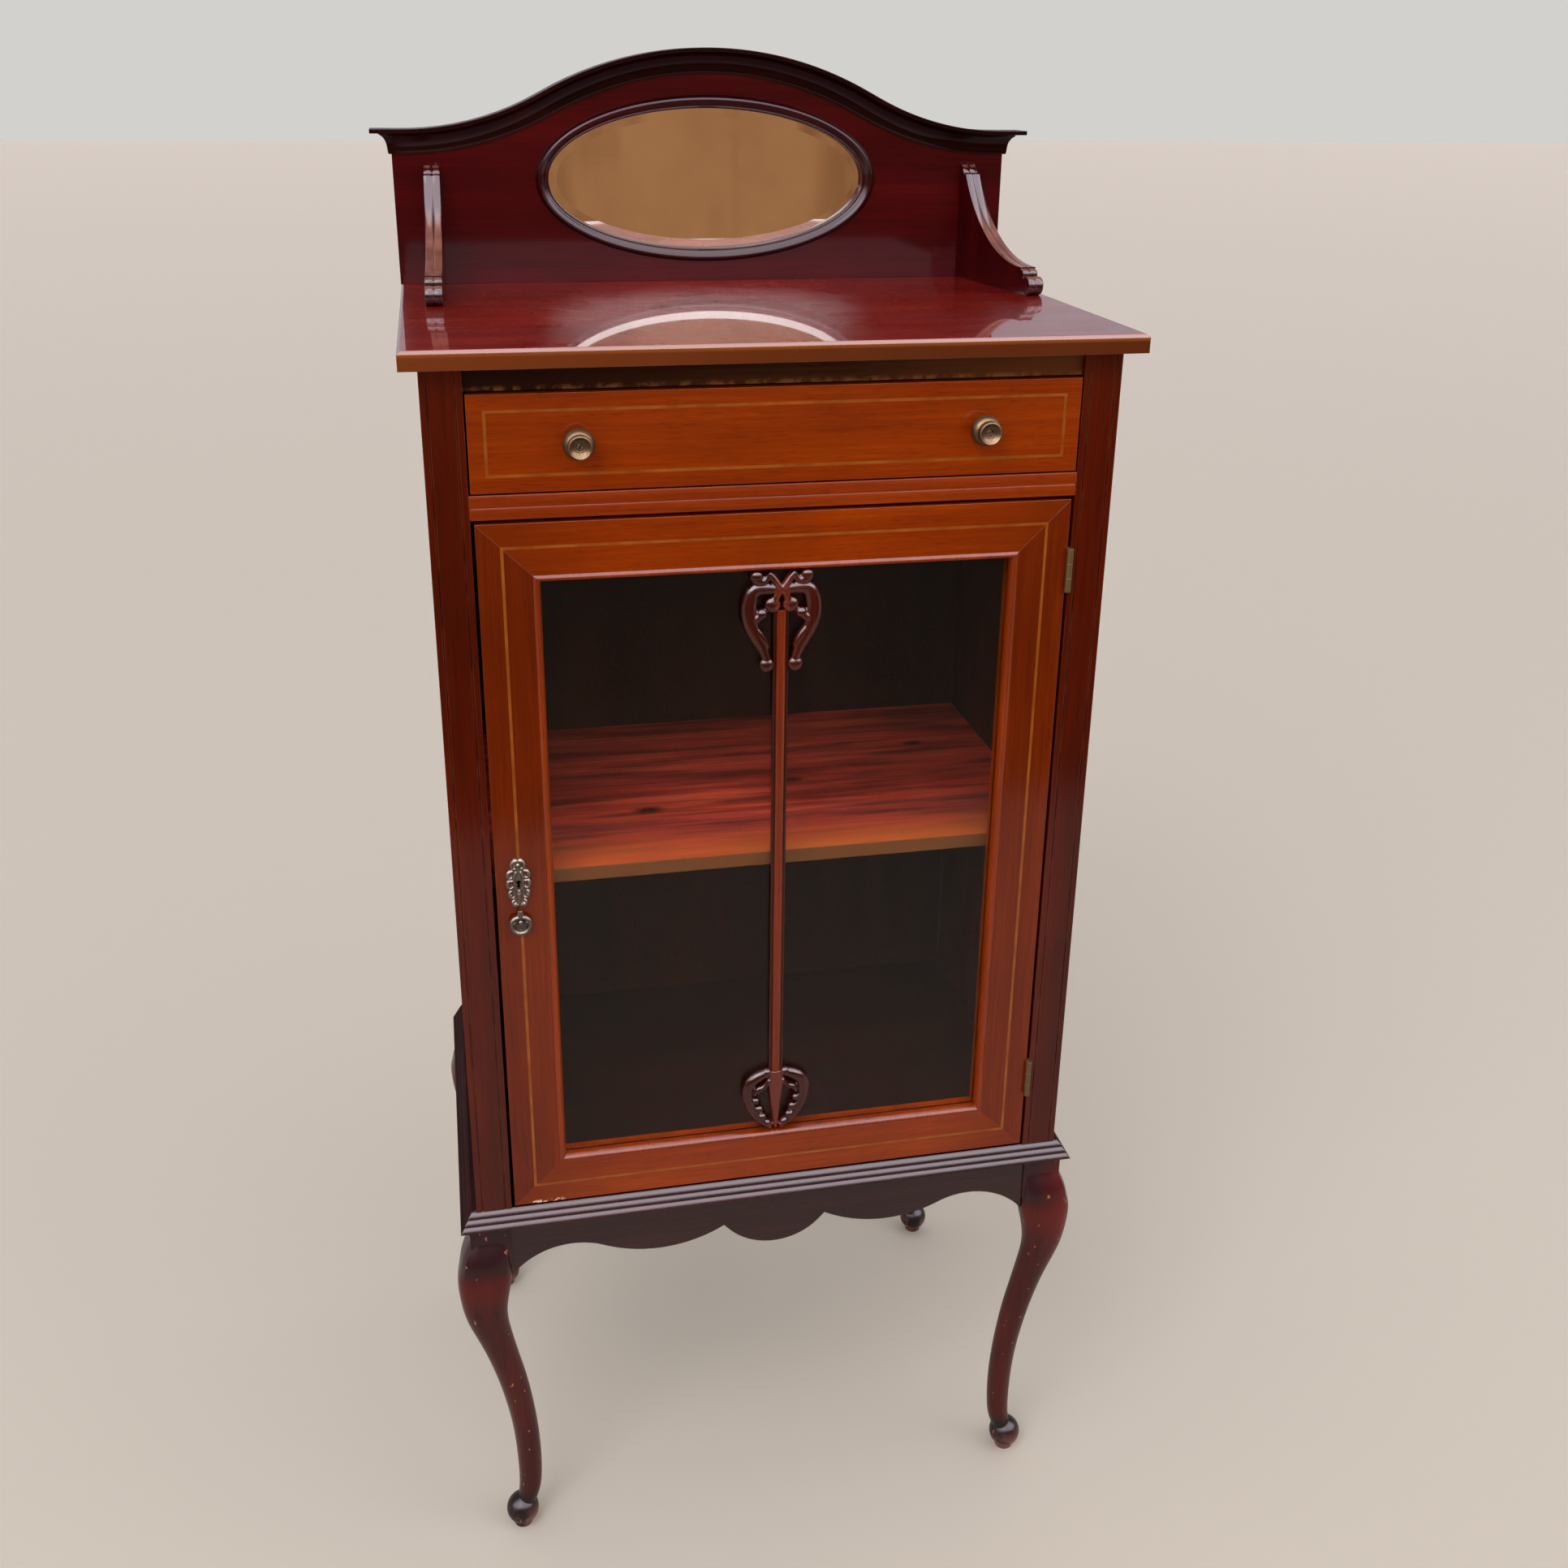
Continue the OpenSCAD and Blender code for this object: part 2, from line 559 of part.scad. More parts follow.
// Reeded brackets between the panel and the top board
nose_h = 24.5;         // height of the nose above a bracket's scroll
nose_in = 18;          // set-back of that nose from the foot
cap_d = 4;             // depth of the cap on a bracket
cap_h = 10;            // height of the cap on a bracket
head_d = 13;           // depth at the head of the curve
scroll_r = 8.5;        // radius of the scroll at the foot
bead_r = 4.2;          // radius of the bead over that scroll
curve_w = bracket_d - nose_in - head_d;
curve_h = bracket_h - cap_h - nose_h;
curve_r = (curve_w * curve_w + curve_h * curve_h) / (2 * curve_h);
module bracket_outline() {
  polygon(concat(
    [[-cap_d, 0], [bracket_d - scroll_r, 0], [bracket_d - scroll_r, nose_h * 0.49],
     [bracket_d - nose_in - 2, nose_h * 0.82],
     [bracket_d - nose_in, nose_h - 2]],
    arc([bracket_d - nose_in, nose_h + curve_r], curve_r, 270, 270 - asin(curve_w / curve_r), 20),
    [[cap_d, bracket_h - cap_h], [cap_d, bracket_h], [-cap_d, bracket_h]]));
  translate([bracket_d - scroll_r, scroll_r]) circle(r = scroll_r);
  translate([bracket_d - nose_in + 1, nose_h - bead_r * 1.55]) circle(r = bead_r);
}
flute_w = 2;           // width of the cut between the two reeds of the front edge
module bracket(sx, splay) placed() color(mahogany) intersection() {
  translate([sx * (half_top - bracket_in), panel_y0, surface_z]) rotate([0, 0, sx * splay])
    translate([-bracket_t / 2, 0, 0]) rotate([90, 0, 90]) mirror([1, 0]) difference() {
      linear_extrude(bracket_t) bracket_outline();
      translate([0, 0, (bracket_t - flute_w) / 2]) linear_extrude(flute_w) difference() {
        translate([-5, -5]) square([bracket_d + 10, bracket_h + 10]);
        translate([-1, -1.2]) bracket_outline();
        translate([-5, -6]) square([bracket_d, 8]);
      }
    }
  block([-half_top, -top_front, surface_z], [half_top, panel_y0, surface_z + bracket_h]);
}
module bracket_left() bracket(-1, splay_left);
module bracket_right() bracket(1, splay_right);

// Screws up through the top board into the panel
screw_len = 34;
gallery_xs = [for (i = [-1.5:1:1.5]) i * half_top * 0.55];
module gallery_screw_shapes() for (x = gallery_xs)
  translate([x, (panel_y0 + panel_y1) / 2, top_z]) {
    cylinder(r = screw_r * 1.5, h = screw_len);
    cylinder(r1 = screw_r * 3, r2 = screw_r * 1.5, h = screw_r * 1.5);
  }
module gallery_screws() placed() color(brass) gallery_screw_shapes();

// Drawer
side_z1 = drawer_z1 - 11;          // top of the drawer sides
side_x = half_drawer - 0.5;        // outer face of the drawer sides
bottom_z = drawer_z0 + 5;          // underside of the drawer bottom
groove = drawer_side_t / 3;        // depth of the groove for the drawer bottom
drawer_y1 = back_y - drawer_space;
module bottom_panel() block(
  [drawer_side_t - groove - side_x, drawer_front_t - groove, bottom_z],
  [side_x - drawer_side_t + groove, drawer_y1, bottom_z + drawer_bottom_t]);
module drawer_front() placed() color(warm_mahogany) difference() {
  block([-half_drawer, 0, drawer_z0], [half_drawer, drawer_front_t, drawer_z1]);
  bottom_panel();
  frame_line(half_drawer - drawer_string_in, drawer_z0 + drawer_string_in, drawer_z1 - drawer_string_in);
  knob_screw_shapes();
}
module drawer_side(sx) placed() color(softwood) difference() {
  mirror([sx < 0 ? 1 : 0, 0, 0])
    block([side_x - drawer_side_t, drawer_front_t, rail_z1 + slide_gap], [side_x, drawer_y1, side_z1]);
  bottom_panel();
}
module drawer_side_left() drawer_side(-1);
module drawer_side_right() drawer_side(1);
module drawer_back() placed() color(softwood)
  block([drawer_side_t - side_x, drawer_y1 - drawer_side_t, bottom_z + drawer_bottom_t],
        [side_x - drawer_side_t, drawer_y1, side_z1 - 4]);
module drawer_bottom() placed() color(softwood) bottom_panel();

// Inlaid line: a rectangle set flush in a face
module frame_line(half, z0, z1) upright(0, line_depth) difference() {
  translate([-half, z0]) square([2 * half, z1 - z0]);
  translate([string_w - half, z0 + string_w]) square([2 * (half - string_w), z1 - z0 - 2 * string_w]);
}
module drawer_stringing() placed() color(line_wood)
  frame_line(half_drawer - drawer_string_in, drawer_z0 + drawer_string_in, drawer_z1 - drawer_string_in);
module door_stringing() placed() color(line_wood) difference() {
  frame_line(half_door - string_in, door_z0 + string_in, door_z1 - string_in);
  keyhole(0, door_t);
}

// Turned brass knobs, each held by a screw from inside the drawer
knob_z = (drawer_z0 + drawer_z1) / 2;
knob_rose = 4;         // thickness of the rose behind a knob
knob_profile = concat(
  [[0, 0], [knob_r * 0.72, 0], [knob_r * 0.72, knob_rose * 0.6], [knob_r * 0.5, knob_rose],
   [knob_r * 0.5, knob_out * 0.3]],
  arc([knob_r * 0.75, knob_out * 0.52], knob_r * 0.25, -90, 90, 10),
  [[knob_r * 0.72, knob_out * 0.8], [knob_r * 0.76, knob_out * 0.95], [knob_r * 0.7, knob_out],
   [knob_r * 0.6, knob_out], [knob_r * 0.5, knob_out - 1.5], [knob_r * 0.22, knob_out - 1],
   [knob_r * 0.2, knob_out - 3], [0, knob_out - 3]]);
module drawer_knobs() placed() color(brass) for (sx = [-1, 1])
  translate([sx * knob_spacing / 2, 0, knob_z]) rotate([90, 0, 0]) difference() {
    rotate_extrude() polygon(knob_profile);
    translate([0, 0, -1]) cylinder(r = screw_r * 1.5, h = knob_out * 0.4 + 1);
  }
module knob_screw_shapes() for (sx = [-1, 1]) translate([sx * knob_spacing / 2, drawer_front_t, knob_z])
  rotate([90, 0, 0]) {
    cylinder(r = screw_r * 1.5, h = drawer_front_t + knob_out * 0.4);
    cylinder(r = screw_r * 3, h = screw_r);
  }
module knob_screws() placed() color(brass) knob_screw_shapes();

// Door frame, mitred at the corners
module door_member(outline) upright(0, door_t) polygon(outline);
module door_cuts() {
  frame_line(half_door - string_in, door_z0 + string_in, door_z1 - string_in);
  lock_shape();
  lock_fixing_shapes();
  hinge_screw_shapes(-1);
  keyhole(0, door_t);
}
sight_z0 = door_z0 + door_frame_w;
sight_z1 = door_z1 - door_frame_w;
module door_stile(sx) placed() color(warm_mahogany) difference() {
  door_member([[sx * half_door, door_z0], [sx * half_door, door_z1], [sx * half_sight, sight_z1],
               [sx * half_sight, sight_z0]]);
  door_cuts();
}
module door_stile_lock() door_stile(-1);
module door_stile_hinge() door_stile(1);
module door_rail(z_out, z_in) placed() color(warm_mahogany) difference() {
  door_member([[-half_door, z_out], [half_door, z_out], [half_sight, z_in], [-half_sight, z_in]]);
  frame_line(half_door - string_in, door_z0 + string_in, door_z1 - string_in);
}
module door_rail_top() door_rail(door_z1, sight_z1);
module door_rail_bottom() door_rail(door_z0, sight_z0);

// Glass between the front beads and the strips behind it
glass_z0 = sight_z0 + bead_w;
glass_z1 = sight_z1 - bead_w;
module door_glass() placed() color("lightblue", 0.3)
  block([-half_sight, glass_y0, sight_z0], [half_sight, glass_y1, sight_z1]);
// Four mitred strips round the opening, from depth y0 to y1
module strips(y0, y1) {
  for (sx = [-1, 1]) upright(y0, y1) polygon([[sx * half_sight, sight_z0], [sx * half_sight, sight_z1],
    [sx * half_glass, glass_z1], [sx * half_glass, glass_z0]]);
  for (z = [[sight_z0, glass_z0], [sight_z1, glass_z1]]) upright(y0, y1)
    polygon([[-half_sight, z[0]], [half_sight, z[0]], [half_glass, z[1]], [-half_glass, z[1]]]);
}
module glazing_beads() placed() color(warm_mahogany) strips(front_bead_y, glass_y0);
module glass_retainers() placed() color(warm_mahogany) strips(glass_y1, door_t - 1);

// Reeded bar between the two carvings
bar_y0 = 1;
leaf_top = 8;          // depth of the leaf's head below the top of the lower carving
reed_cut = 1.4;        // width of the cut between two reeds
bar_z0 = glass_z0 + carving_low_h - leaf_top;
bar_z1 = glass_z1 - carving_top_h * 0.4;
module centre_bar() placed() color(mahogany) difference() {
  block([-bar_w / 2, bar_y0, bar_z0], [bar_w / 2, glass_y0, bar_z1]);
  for (sx = [-1, 1]) translate([sx * bar_w / 6 - reed_cut / 2, bar_y0 - eps, bar_z0 - 1])
    cube([reed_cut, 1, bar_z1 - bar_z0 + 2]);
}

// Carvings: strokes of [x, z, width] in shares of half the width and the height
module carved(points, w, h, y0) upright(y0, glass_y0)
  polygon(stroke([for (p = smooth(points, 5)) [p[0] * w / 2, p[1] * h, p[2]]]));
module both() {
  children();
  mirror([1, 0, 0]) children();
}
module ball(x, z, r, y0) translate([x, glass_y0, z]) rotate([90, 0, 0]) cylinder(r = r, h = glass_y0 - y0);
lyre_scroll = [[0.06, -0.19, 5], [0.42, -0.15, 6], [0.80, -0.20, 8], [0.90, -0.38, 8.5], [0.82, -0.54, 8],
               [0.62, -0.70, 7], [0.42, -0.82, 6], [0.38, -0.91, 5]];
lyre_curl = [[0.04, -0.16, 3.5], [0.20, -0.10, 4.5], [0.34, -0.04, 4.5]];
lyre_leaf = [[0.24, -0.13, 3], [0.44, -0.065, 6], [0.68, -0.10, 3]];
lyre_hook = [[0.82, -0.42, 5], [0.64, -0.455, 5], [0.48, -0.41, 4]];
module carving_top() placed() color(mahogany) translate([0, 0, glass_z1]) union() {
  both() {
    carved(lyre_scroll, carving_w, carving_top_h, 0);
    carved(lyre_curl, carving_w, carving_top_h, 1);
    carved(lyre_leaf, carving_w, carving_top_h, 2);
    carved(lyre_hook, carving_w, carving_top_h, 1);
    ball(carving_w * 0.19, -carving_top_h * 0.94, 4.8, -1);
    ball(carving_w * 0.16, -carving_top_h * 0.32, 4.8, -1);
  }
  // stem between the scrolls, down to the head of the bar
  block([-bar_w / 2, 1, -carving_top_h * 0.4], [bar_w / 2, glass_y0, -carving_top_h * 0.3]);
  block([-3.5, 1, -carving_top_h * 0.32], [3.5, glass_y0, 0]);
}
heart_scroll = [[0.26, -0.05, 6], [0.46, -0.10, 8], [0.76, -0.22, 8.5], [0.88, -0.44, 8], [0.80, -0.66, 8],
                [0.50, -0.85, 8], [0.10, -0.94, 6]];
heart_curl = [[0.20, -0.20, 4], [0.44, -0.34, 6], [0.66, -0.40, 4]];
heart_beads = [[0.64, -0.55, 4.2], [0.54, -0.68, 4.4], [0.38, -0.79, 4.6]];
module carving_bottom() placed() color(mahogany) translate([0, 0, glass_z0 + carving_low_h]) difference() {
  union() {
    both() {
      carved(heart_scroll, carving_w, carving_low_h, 0);
      carved(heart_curl, carving_w, carving_low_h, 2);
      for (b = heart_beads) ball(b[0] * carving_w / 2, b[1] * carving_low_h, b[2], 0);
    }
    // pointed leaf in the middle, from the foot of the bar
    upright(-1, glass_y0) polygon([[-bar_w / 2, -leaf_top], [-7, -18], [-6, -carving_low_h * 0.6],
      [-2.5, -carving_low_h], [2.5, -carving_low_h], [6, -carving_low_h * 0.6], [7, -18],
      [bar_w / 2, -leaf_top]]);
  }
  block([-bar_w / 2, -2, -leaf_top], [bar_w / 2, glass_y0 + 1, 10]);
  block([-bar_w, -2, -carving_low_h - 6], [bar_w, glass_y0 + 1, -carving_low_h]);
}

// Keyhole, from depth y0 to y1
key_x = key_in - half_door;
module keyhole(y0, y1) {
  translate([key_x, y1 + eps, lock_z]) rotate([90, 0, 0]) cylinder(r = 1.9, h = y1 - y0 + 2 * eps);
  block([key_x - 0.9, y0 - eps, lock_z - 6], [key_x + 0.9, y1 + eps, lock_z]);
}

// Cast escutcheon with two ears that carry the drop pull on a pin
plate_t = 1.8;
pivot_y = -5.2;
pivot_z = lock_z - plate_h - 5;
ear_x = 2.6;           // distance from the middle to an ear's inner face
ear_t = 1.6;
pull_pin_r = 0.9;
module plate_outline() {
  for (p = [[0, 0.72, 0.34], [0, 0.35, 0.42], [0, -0.1, 0.5], [0, -0.55, 0.46], [-0.28, 0.5, 0.16],
            [0.28, 0.5, 0.16], [-0.3, 0.12, 0.2], [0.3, 0.12, 0.2], [-0.3, -0.3, 0.2], [0.3, -0.3, 0.2],
            [-0.2, -0.78, 0.2], [0.2, -0.78, 0.2]])
    translate([p[0] * plate_w, p[1] * plate_h]) circle(r = p[2] * plate_w);
  translate([-plate_w * 0.24, -plate_h - 8]) square([plate_w * 0.48, plate_h]);
}
module escutcheon() placed() color(brass) difference() {
  union() {
    translate([key_x, 0, lock_z]) upright(-plate_t, 0) plate_outline();
    for (sx = [-1, 1]) translate([key_x + sx * (ear_x + ear_t / 2), 0, pivot_z]) rotate([0, 90, 0])
      translate([0, 0, -ear_t / 2]) linear_extrude(ear_t) {
        translate([0, pivot_y]) circle(r = 2.2);
        translate([-2.2, pivot_y]) square([4.4, -pivot_y - plate_t + eps]);
      }
    translate([key_x - ear_x - ear_t, pivot_y, pivot_z]) rotate([0, 90, 0])
      cylinder(r = pull_pin_r, h = 2 * (ear_x + ear_t));
  }
  keyhole(-plate_t, 0);
  lock_fixing_shapes();
}
module drop_pull() placed() color(brass) translate([key_x, 0, 0]) difference() {
  union() {
    translate([-ear_x + 0.2, pivot_y, pivot_z]) rotate([0, 90, 0]) cylinder(r = 2.4, h = 2 * (ear_x - 0.2));
    translate([0, pivot_y, pivot_z]) upright(-1.6, 1.6) {
      translate([-2.2, -pull_len * 0.4]) square([4.4, pull_len * 0.4]);
      translate([0, -pull_len + pull_w * 0.42]) circle(r = pull_w * 0.42);
      for (sx = [-1, 1]) translate([sx * pull_w * 0.36, -pull_len * 0.5]) circle(r = pull_w * 0.14);
    }
  }
  // dish in the front of the pull
  translate([0, pivot_y - 1.6 - eps, pivot_z - pull_len + pull_w * 0.46]) rotate([-90, 0, 0])
    cylinder(r = pull_w * 0.2, h = 1.6);
  translate([-ear_x - 1, pivot_y, pivot_z]) rotate([0, 90, 0])
    cylinder(r = pull_pin_r + pin_fit, h = 2 * ear_x + 2);
}

// Lock: a brass case let into the back of the door stile, with the bolt sliding through it
case_w = 26;           // distance the case reaches in from the door's edge
case_h = 44;
case_y0 = bolt_y - bolt_t / 2 - 2;
wall = 1.2;
module lock_outer() block([-half_door, case_y0, lock_z - case_h / 2],
                          [case_w - half_door, door_t, lock_z + case_h / 2]);
module lock_shape() lock_outer();
bolt_len = case_w - wall - 1;
module bolt_shape(g) block([-half_door - g, bolt_y - bolt_t / 2 - g, lock_z - bolt_h / 2 - g],
                           [bolt_len - half_door + g, bolt_y + bolt_t / 2 + g, lock_z + bolt_h / 2 + g]);
module lock_case() placed() color(brass) difference() {
  lock_outer();
  block([wall - half_door, case_y0 + wall, lock_z - case_h / 2 + wall],
        [case_w - half_door - wall, door_t - wall, lock_z + case_h / 2 - wall]);
  bolt_shape(seat_gap);
  keyhole(case_y0, door_t);
  lock_fixing_shapes();
}
module lock_bolt() placed() color(brass) difference() {
  bolt_shape(0);
  // notch that the key turns in
  block([key_x - 5, bolt_y - 3, lock_z - bolt_h / 2 - 1], [key_x + 5, bolt_y + 3, lock_z - 1.5]);
}
module lock_fixings() placed() color(brass) lock_fixing_shapes();
// Screws that hold the lock from behind, and pins through the escutcheon
module lock_fixing_shapes() {
  for (z = [-1, 1]) translate([key_x - string_w - 1, -plate_t - 0.6, lock_z + z * (plate_h * 0.72)])
    rotate([-90, 0, 0]) {
      cylinder(r = 0.8, h = 6);
      cylinder(r = 1.4, h = 0.6);
    }
}

// Butt hinges on the right, with the knuckles in front of the joint
axis_x = (half_open + half_door) / 2;
axis_y = -knuckle_r;
hinge_zs = [door_z0 + hinge_low, door_z1 - hinge_top];
knuckle = hinge_len / 3;
knuckle_gap = 0.2;
leaf_y0 = 0.3;         // where a leaf starts beside the other leaf's knuckle
screw_zs = [-0.36, 0, 0.36];
hinge_screw_len = 11;
// Screws of one leaf: side 1 goes into the stile, side -1 into the door
module hinge_screw_shapes(side) for (z = hinge_zs, s = screw_zs)
  translate([side > 0 ? half_open - leaf_t : half_door + leaf_t, leaf_w * (s == 0 ? 0.68 : 0.4), z + s * hinge_len])
  rotate([0, 90 * side, 0]) {
    cylinder(r = screw_r, h = hinge_screw_len);
    cylinder(r1 = screw_r * 1.8, r2 = screw_r, h = leaf_t);
  }
module knuckle_part(z0, z1) translate([axis_x, axis_y, z0]) cylinder(r = knuckle_r, h = z1 - z0);
module leaf(x0, z, ks) {
  block([x0, leaf_y0, z - hinge_len / 2], [x0 + leaf_t, leaf_w, z + hinge_len / 2]);
  for (k = ks) {
    z0 = z - hinge_len / 2 + k * knuckle + knuckle_gap / 2;
    z1 = z0 + knuckle - knuckle_gap;
    knuckle_part(z0, z1);
    block([x0, axis_y, z0], [x0 + leaf_t, leaf_y0 + eps, z1]);
  }
}
module hinge_leaves_carcass() placed() color(brass) for (z = hinge_zs) difference() {
  union() {
    leaf(half_open - leaf_t, z, [0, 2]);
    translate([axis_x, axis_y, z - hinge_len / 2 + 1]) cylinder(r = pin_r, h = hinge_len - 2);
  }
  hinge_screw_shapes(1);
}
module hinge_leaves_door() placed() color(brass) for (z = hinge_zs) difference() {
  leaf(half_door, z, [1]);
  translate([axis_x, axis_y, z - hinge_len / 2]) cylinder(r = pin_r + pin_fit, h = hinge_len);
  hinge_screw_shapes(-1);
}
module hinge_screws_carcass() placed() color(brass) hinge_screw_shapes(1);
module hinge_screws_door() placed() color(brass) hinge_screw_shapes(-1);

leg_front_left();
leg_front_right();
leg_back_left();
leg_back_right();
apron_front();
apron_left();
apron_right();
stand_back_rail();
corner_blocks();
base_moulding_front();
base_moulding_sides();
side_left();
side_right();
stile_left();
stile_right();
bottom_board();
back_board();
top_rail();
drawer_rail();
drawer_runners();
drawer_kickers();
shelf();
shelf_bearers();
top_board();
gallery_panel();
cornice();
mirror_glass();
mirror_moulding();
mirror_backboard();
bracket_left();
bracket_right();
gallery_screws();
hinge_leaves_carcass();
hinge_screws_carcass();
drawer_front();
drawer_side_left();
drawer_side_right();
drawer_back();
drawer_bottom();
drawer_stringing();
drawer_knobs();
knob_screws();
door_stile_lock();
door_stile_hinge();
door_rail_top();
door_rail_bottom();
door_stringing();
door_glass();
glazing_beads();
glass_retainers();
centre_bar();
carving_top();
carving_bottom();
escutcheon();
lock_case();
lock_fixings();
hinge_leaves_door();
hinge_screws_door();
drop_pull();
lock_bolt();
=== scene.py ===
import math

import bmesh
import bpy
from mathutils import Matrix, Vector


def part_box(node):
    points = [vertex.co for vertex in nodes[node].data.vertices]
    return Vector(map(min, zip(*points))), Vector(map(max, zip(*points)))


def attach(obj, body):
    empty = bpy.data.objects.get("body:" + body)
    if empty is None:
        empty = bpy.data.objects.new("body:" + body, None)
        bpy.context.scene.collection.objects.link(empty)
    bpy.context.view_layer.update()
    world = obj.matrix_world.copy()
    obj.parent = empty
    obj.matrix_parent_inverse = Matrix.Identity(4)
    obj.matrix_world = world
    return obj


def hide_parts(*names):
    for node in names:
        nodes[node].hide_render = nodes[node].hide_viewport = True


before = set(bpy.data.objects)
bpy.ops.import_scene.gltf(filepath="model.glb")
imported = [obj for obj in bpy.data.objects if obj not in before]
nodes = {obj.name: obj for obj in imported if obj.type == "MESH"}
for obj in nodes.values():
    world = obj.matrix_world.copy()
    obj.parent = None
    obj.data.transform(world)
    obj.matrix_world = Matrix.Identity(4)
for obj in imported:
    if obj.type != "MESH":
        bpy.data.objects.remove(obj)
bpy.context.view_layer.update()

# Glazed mahogany music cabinet on a cabriole stand: finishes, carved and cast detail, studio and camera.
# Lengths are in metres, in the frame of the CAD model: front faces -Y, Z is up.
scene = bpy.context.scene


def linearColour(hexCode):  # sRGB hex to the linear values that the shaders take
    parts = [int(hexCode[i:i + 2], 16) / 255 for i in (1, 3, 5)]
    return tuple(c / 12.92 if c <= 0.04045 else ((c + 0.055) / 1.055) ** 2.4 for c in parts) + (1.0,)


def addNode(tree, kind, given=None, stops=(), **settings):
    # one node: its settings, its inputs (value, hex colour, socket or node to read) and its ramp's stops
    node = tree.nodes.new(kind if "Node" in kind else "ShaderNode" + kind)
    for name, value in settings.items():
        setattr(node, name, value)
    for name, value in (given or {}).items():
        if isinstance(value, bpy.types.Node):
            value = value.outputs[0]
        if isinstance(value, bpy.types.NodeSocket):
            tree.links.new(value, node.inputs[name])
        else:
            node.inputs[name].default_value = linearColour(value) if isinstance(value, str) else value
    if stops:
        marks = node.color_ramp.elements
        marks[0].position = stops[0][0]
        marks[1].position = stops[-1][0]
        for position, colour in stops[1:-1]:
            marks.new(position)
        for mark, (position, colour) in zip(marks, stops):
            mark.color = linearColour(colour)
    return node


def newMaterial(name):
    material = bpy.data.materials.new(name)
    material.use_nodes = True
    material.node_tree.nodes.clear()
    return material, material.node_tree


def together(tree, *shares):  # several masks at once: their product
    product = shares[0]
    for share in shares[1:]:
        product = addNode(tree, "Math", {0: product, 1: share}, operation="MULTIPLY")
    return product


def within(tree, value, start, full, end=None, gone=None, least=0.0, most=1.0):
    # goes from least to most while the value goes from start to full, and may fall again from end to gone
    rise = addNode(tree, "MapRange", {"Value": value, "From Min": start, "From Max": full, "To Min": least,
                                      "To Max": most})
    return rise if end is None else together(tree, rise, within(tree, value, gone, end))


def painted(tree, colour, *coats):  # lays coats on a colour, each with its masks first and its hex code last
    for *shares, coat in coats:
        mix = addNode(tree, "Mix", {0: together(tree, *shares), 6: colour, 7: coat}, data_type="RGBA")
        colour = mix.outputs[2]
    return colour


def reachFrom(tree, place, centre, squash):  # distance from a point, with each axis squashed or left out
    shift = addNode(tree, "VectorMath", {0: place, 1: centre}, operation="SUBTRACT")
    squashed = addNode(tree, "VectorMath", {0: shift, 1: squash}, operation="MULTIPLY")
    return addNode(tree, "VectorMath", {0: squashed}, operation="LENGTH").outputs["Value"]


def placeOn(tree):  # a point's place on the piece, its coordinates and its distance from the middle plane
    place = addNode(tree, "TexCoord").outputs["Object"]
    apart = addNode(tree, "SeparateXYZ", {0: place}).outputs
    aside = addNode(tree, "Math", {0: apart["X"]}, operation="ABSOLUTE")
    return {"place": place, "x": apart["X"], "y": apart["Y"], "z": apart["Z"], "aside": aside}


# What shows only on some boards; each of these takes a tree, a place and the colour under it
def topEdge(tree, at, colour):  # the top board's front face is faded brown and lighter towards the left; a painted highlight runs pale along its front and end arrises
    low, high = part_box("top_board")
    front = within(tree, at["y"], low.y + 0.0020, low.y + 0.0009)
    left = within(tree, at["x"], 0.10, -0.20)
    # painted highlight: a pale band along the top of the front and end arrises, where the polish would catch
    # the sky
    arrisHighlightHeight = within(tree, at["z"], high.z - 0.0058, high.z - 0.0038)
    arris = within(tree, at["y"], low.y + 0.0030, low.y + 0.0010)
    ends = within(tree, at["aside"], high.x - 0.0025, high.x - 0.0005)
    outer = addNode(tree, "Math", {0: arris, 1: ends}, operation="MAXIMUM")
    faded, lighterLeft = (front, "#542002"), (left, front, "#682c06")
    return painted(tree, colour, faded, lighterLeft, (arrisHighlightHeight, outer, "#804012"))


def shelfFace(tree, at, colour):  # dark streaks, three knots and an ochre front edge
    knots = ((-0.098, -0.050, 0.011), (0.048, -0.0065, 0.009), (0.19, 0.06, 0.008))  # x, y and size
    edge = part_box("shelf")[0].y
    drawnOut = addNode(tree, "VectorMath", {0: at["place"], 1: (7.0, 75.0, 1.0)}, operation="MULTIPLY")
    streak = addNode(tree, "TexNoise", {"Vector": drawnOut, "Scale": 1.0, "Detail": 3.0})
    coats = [(within(tree, streak, 0.44, 0.66), 0.75, "#3a0e0a")]
    for x, y, size in knots:
        reach = reachFrom(tree, at["place"], (x, y, 0.0), (0.55, 1.2, 0.0))
        coats.append((within(tree, reach, size, size * 0.35), "#2a0805"))
    coats.append((within(tree, at["y"], -0.095, -0.150), streak, "#a05018"))
    coats.append((within(tree, at["y"], edge + 0.0011, edge + 0.0005), "#4c280e"))
    return painted(tree, colour, *coats)


def cornerFade(tree, at, colour):  # the door's rails are darker towards their mitres
    return painted(tree, colour, (within(tree, at["aside"], 0.150, 0.225), 0.8, "#6c2200"))


def chippedFoot(tree, at, colour):  # chips along the foot of the door near its lock side
    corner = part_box("door_rail_bottom")[0]
    chip = addNode(tree, "TexNoise", {"Vector": at["place"], "Scale": 260.0, "Detail": 2.0})
    low = within(tree, at["z"], corner.z + 0.0035, corner.z + 0.0015)
    near = within(tree, at["x"], corner.x + 0.013, corner.x + 0.017, corner.x + 0.040, corner.x + 0.047)
    broken = within(tree, chip, 0.50, 0.54)
    return painted(tree, cornerFade(tree, at, colour), (low, near, broken, "#e8c0a0"))


keyhole = {"x": -0.226, "z": 0.728, "radius": 0.0022, "slotHalf": 0.0012, "slotFoot": 0.0062,
           "cut": (-0.012, 0.003)}  # from the plate's back


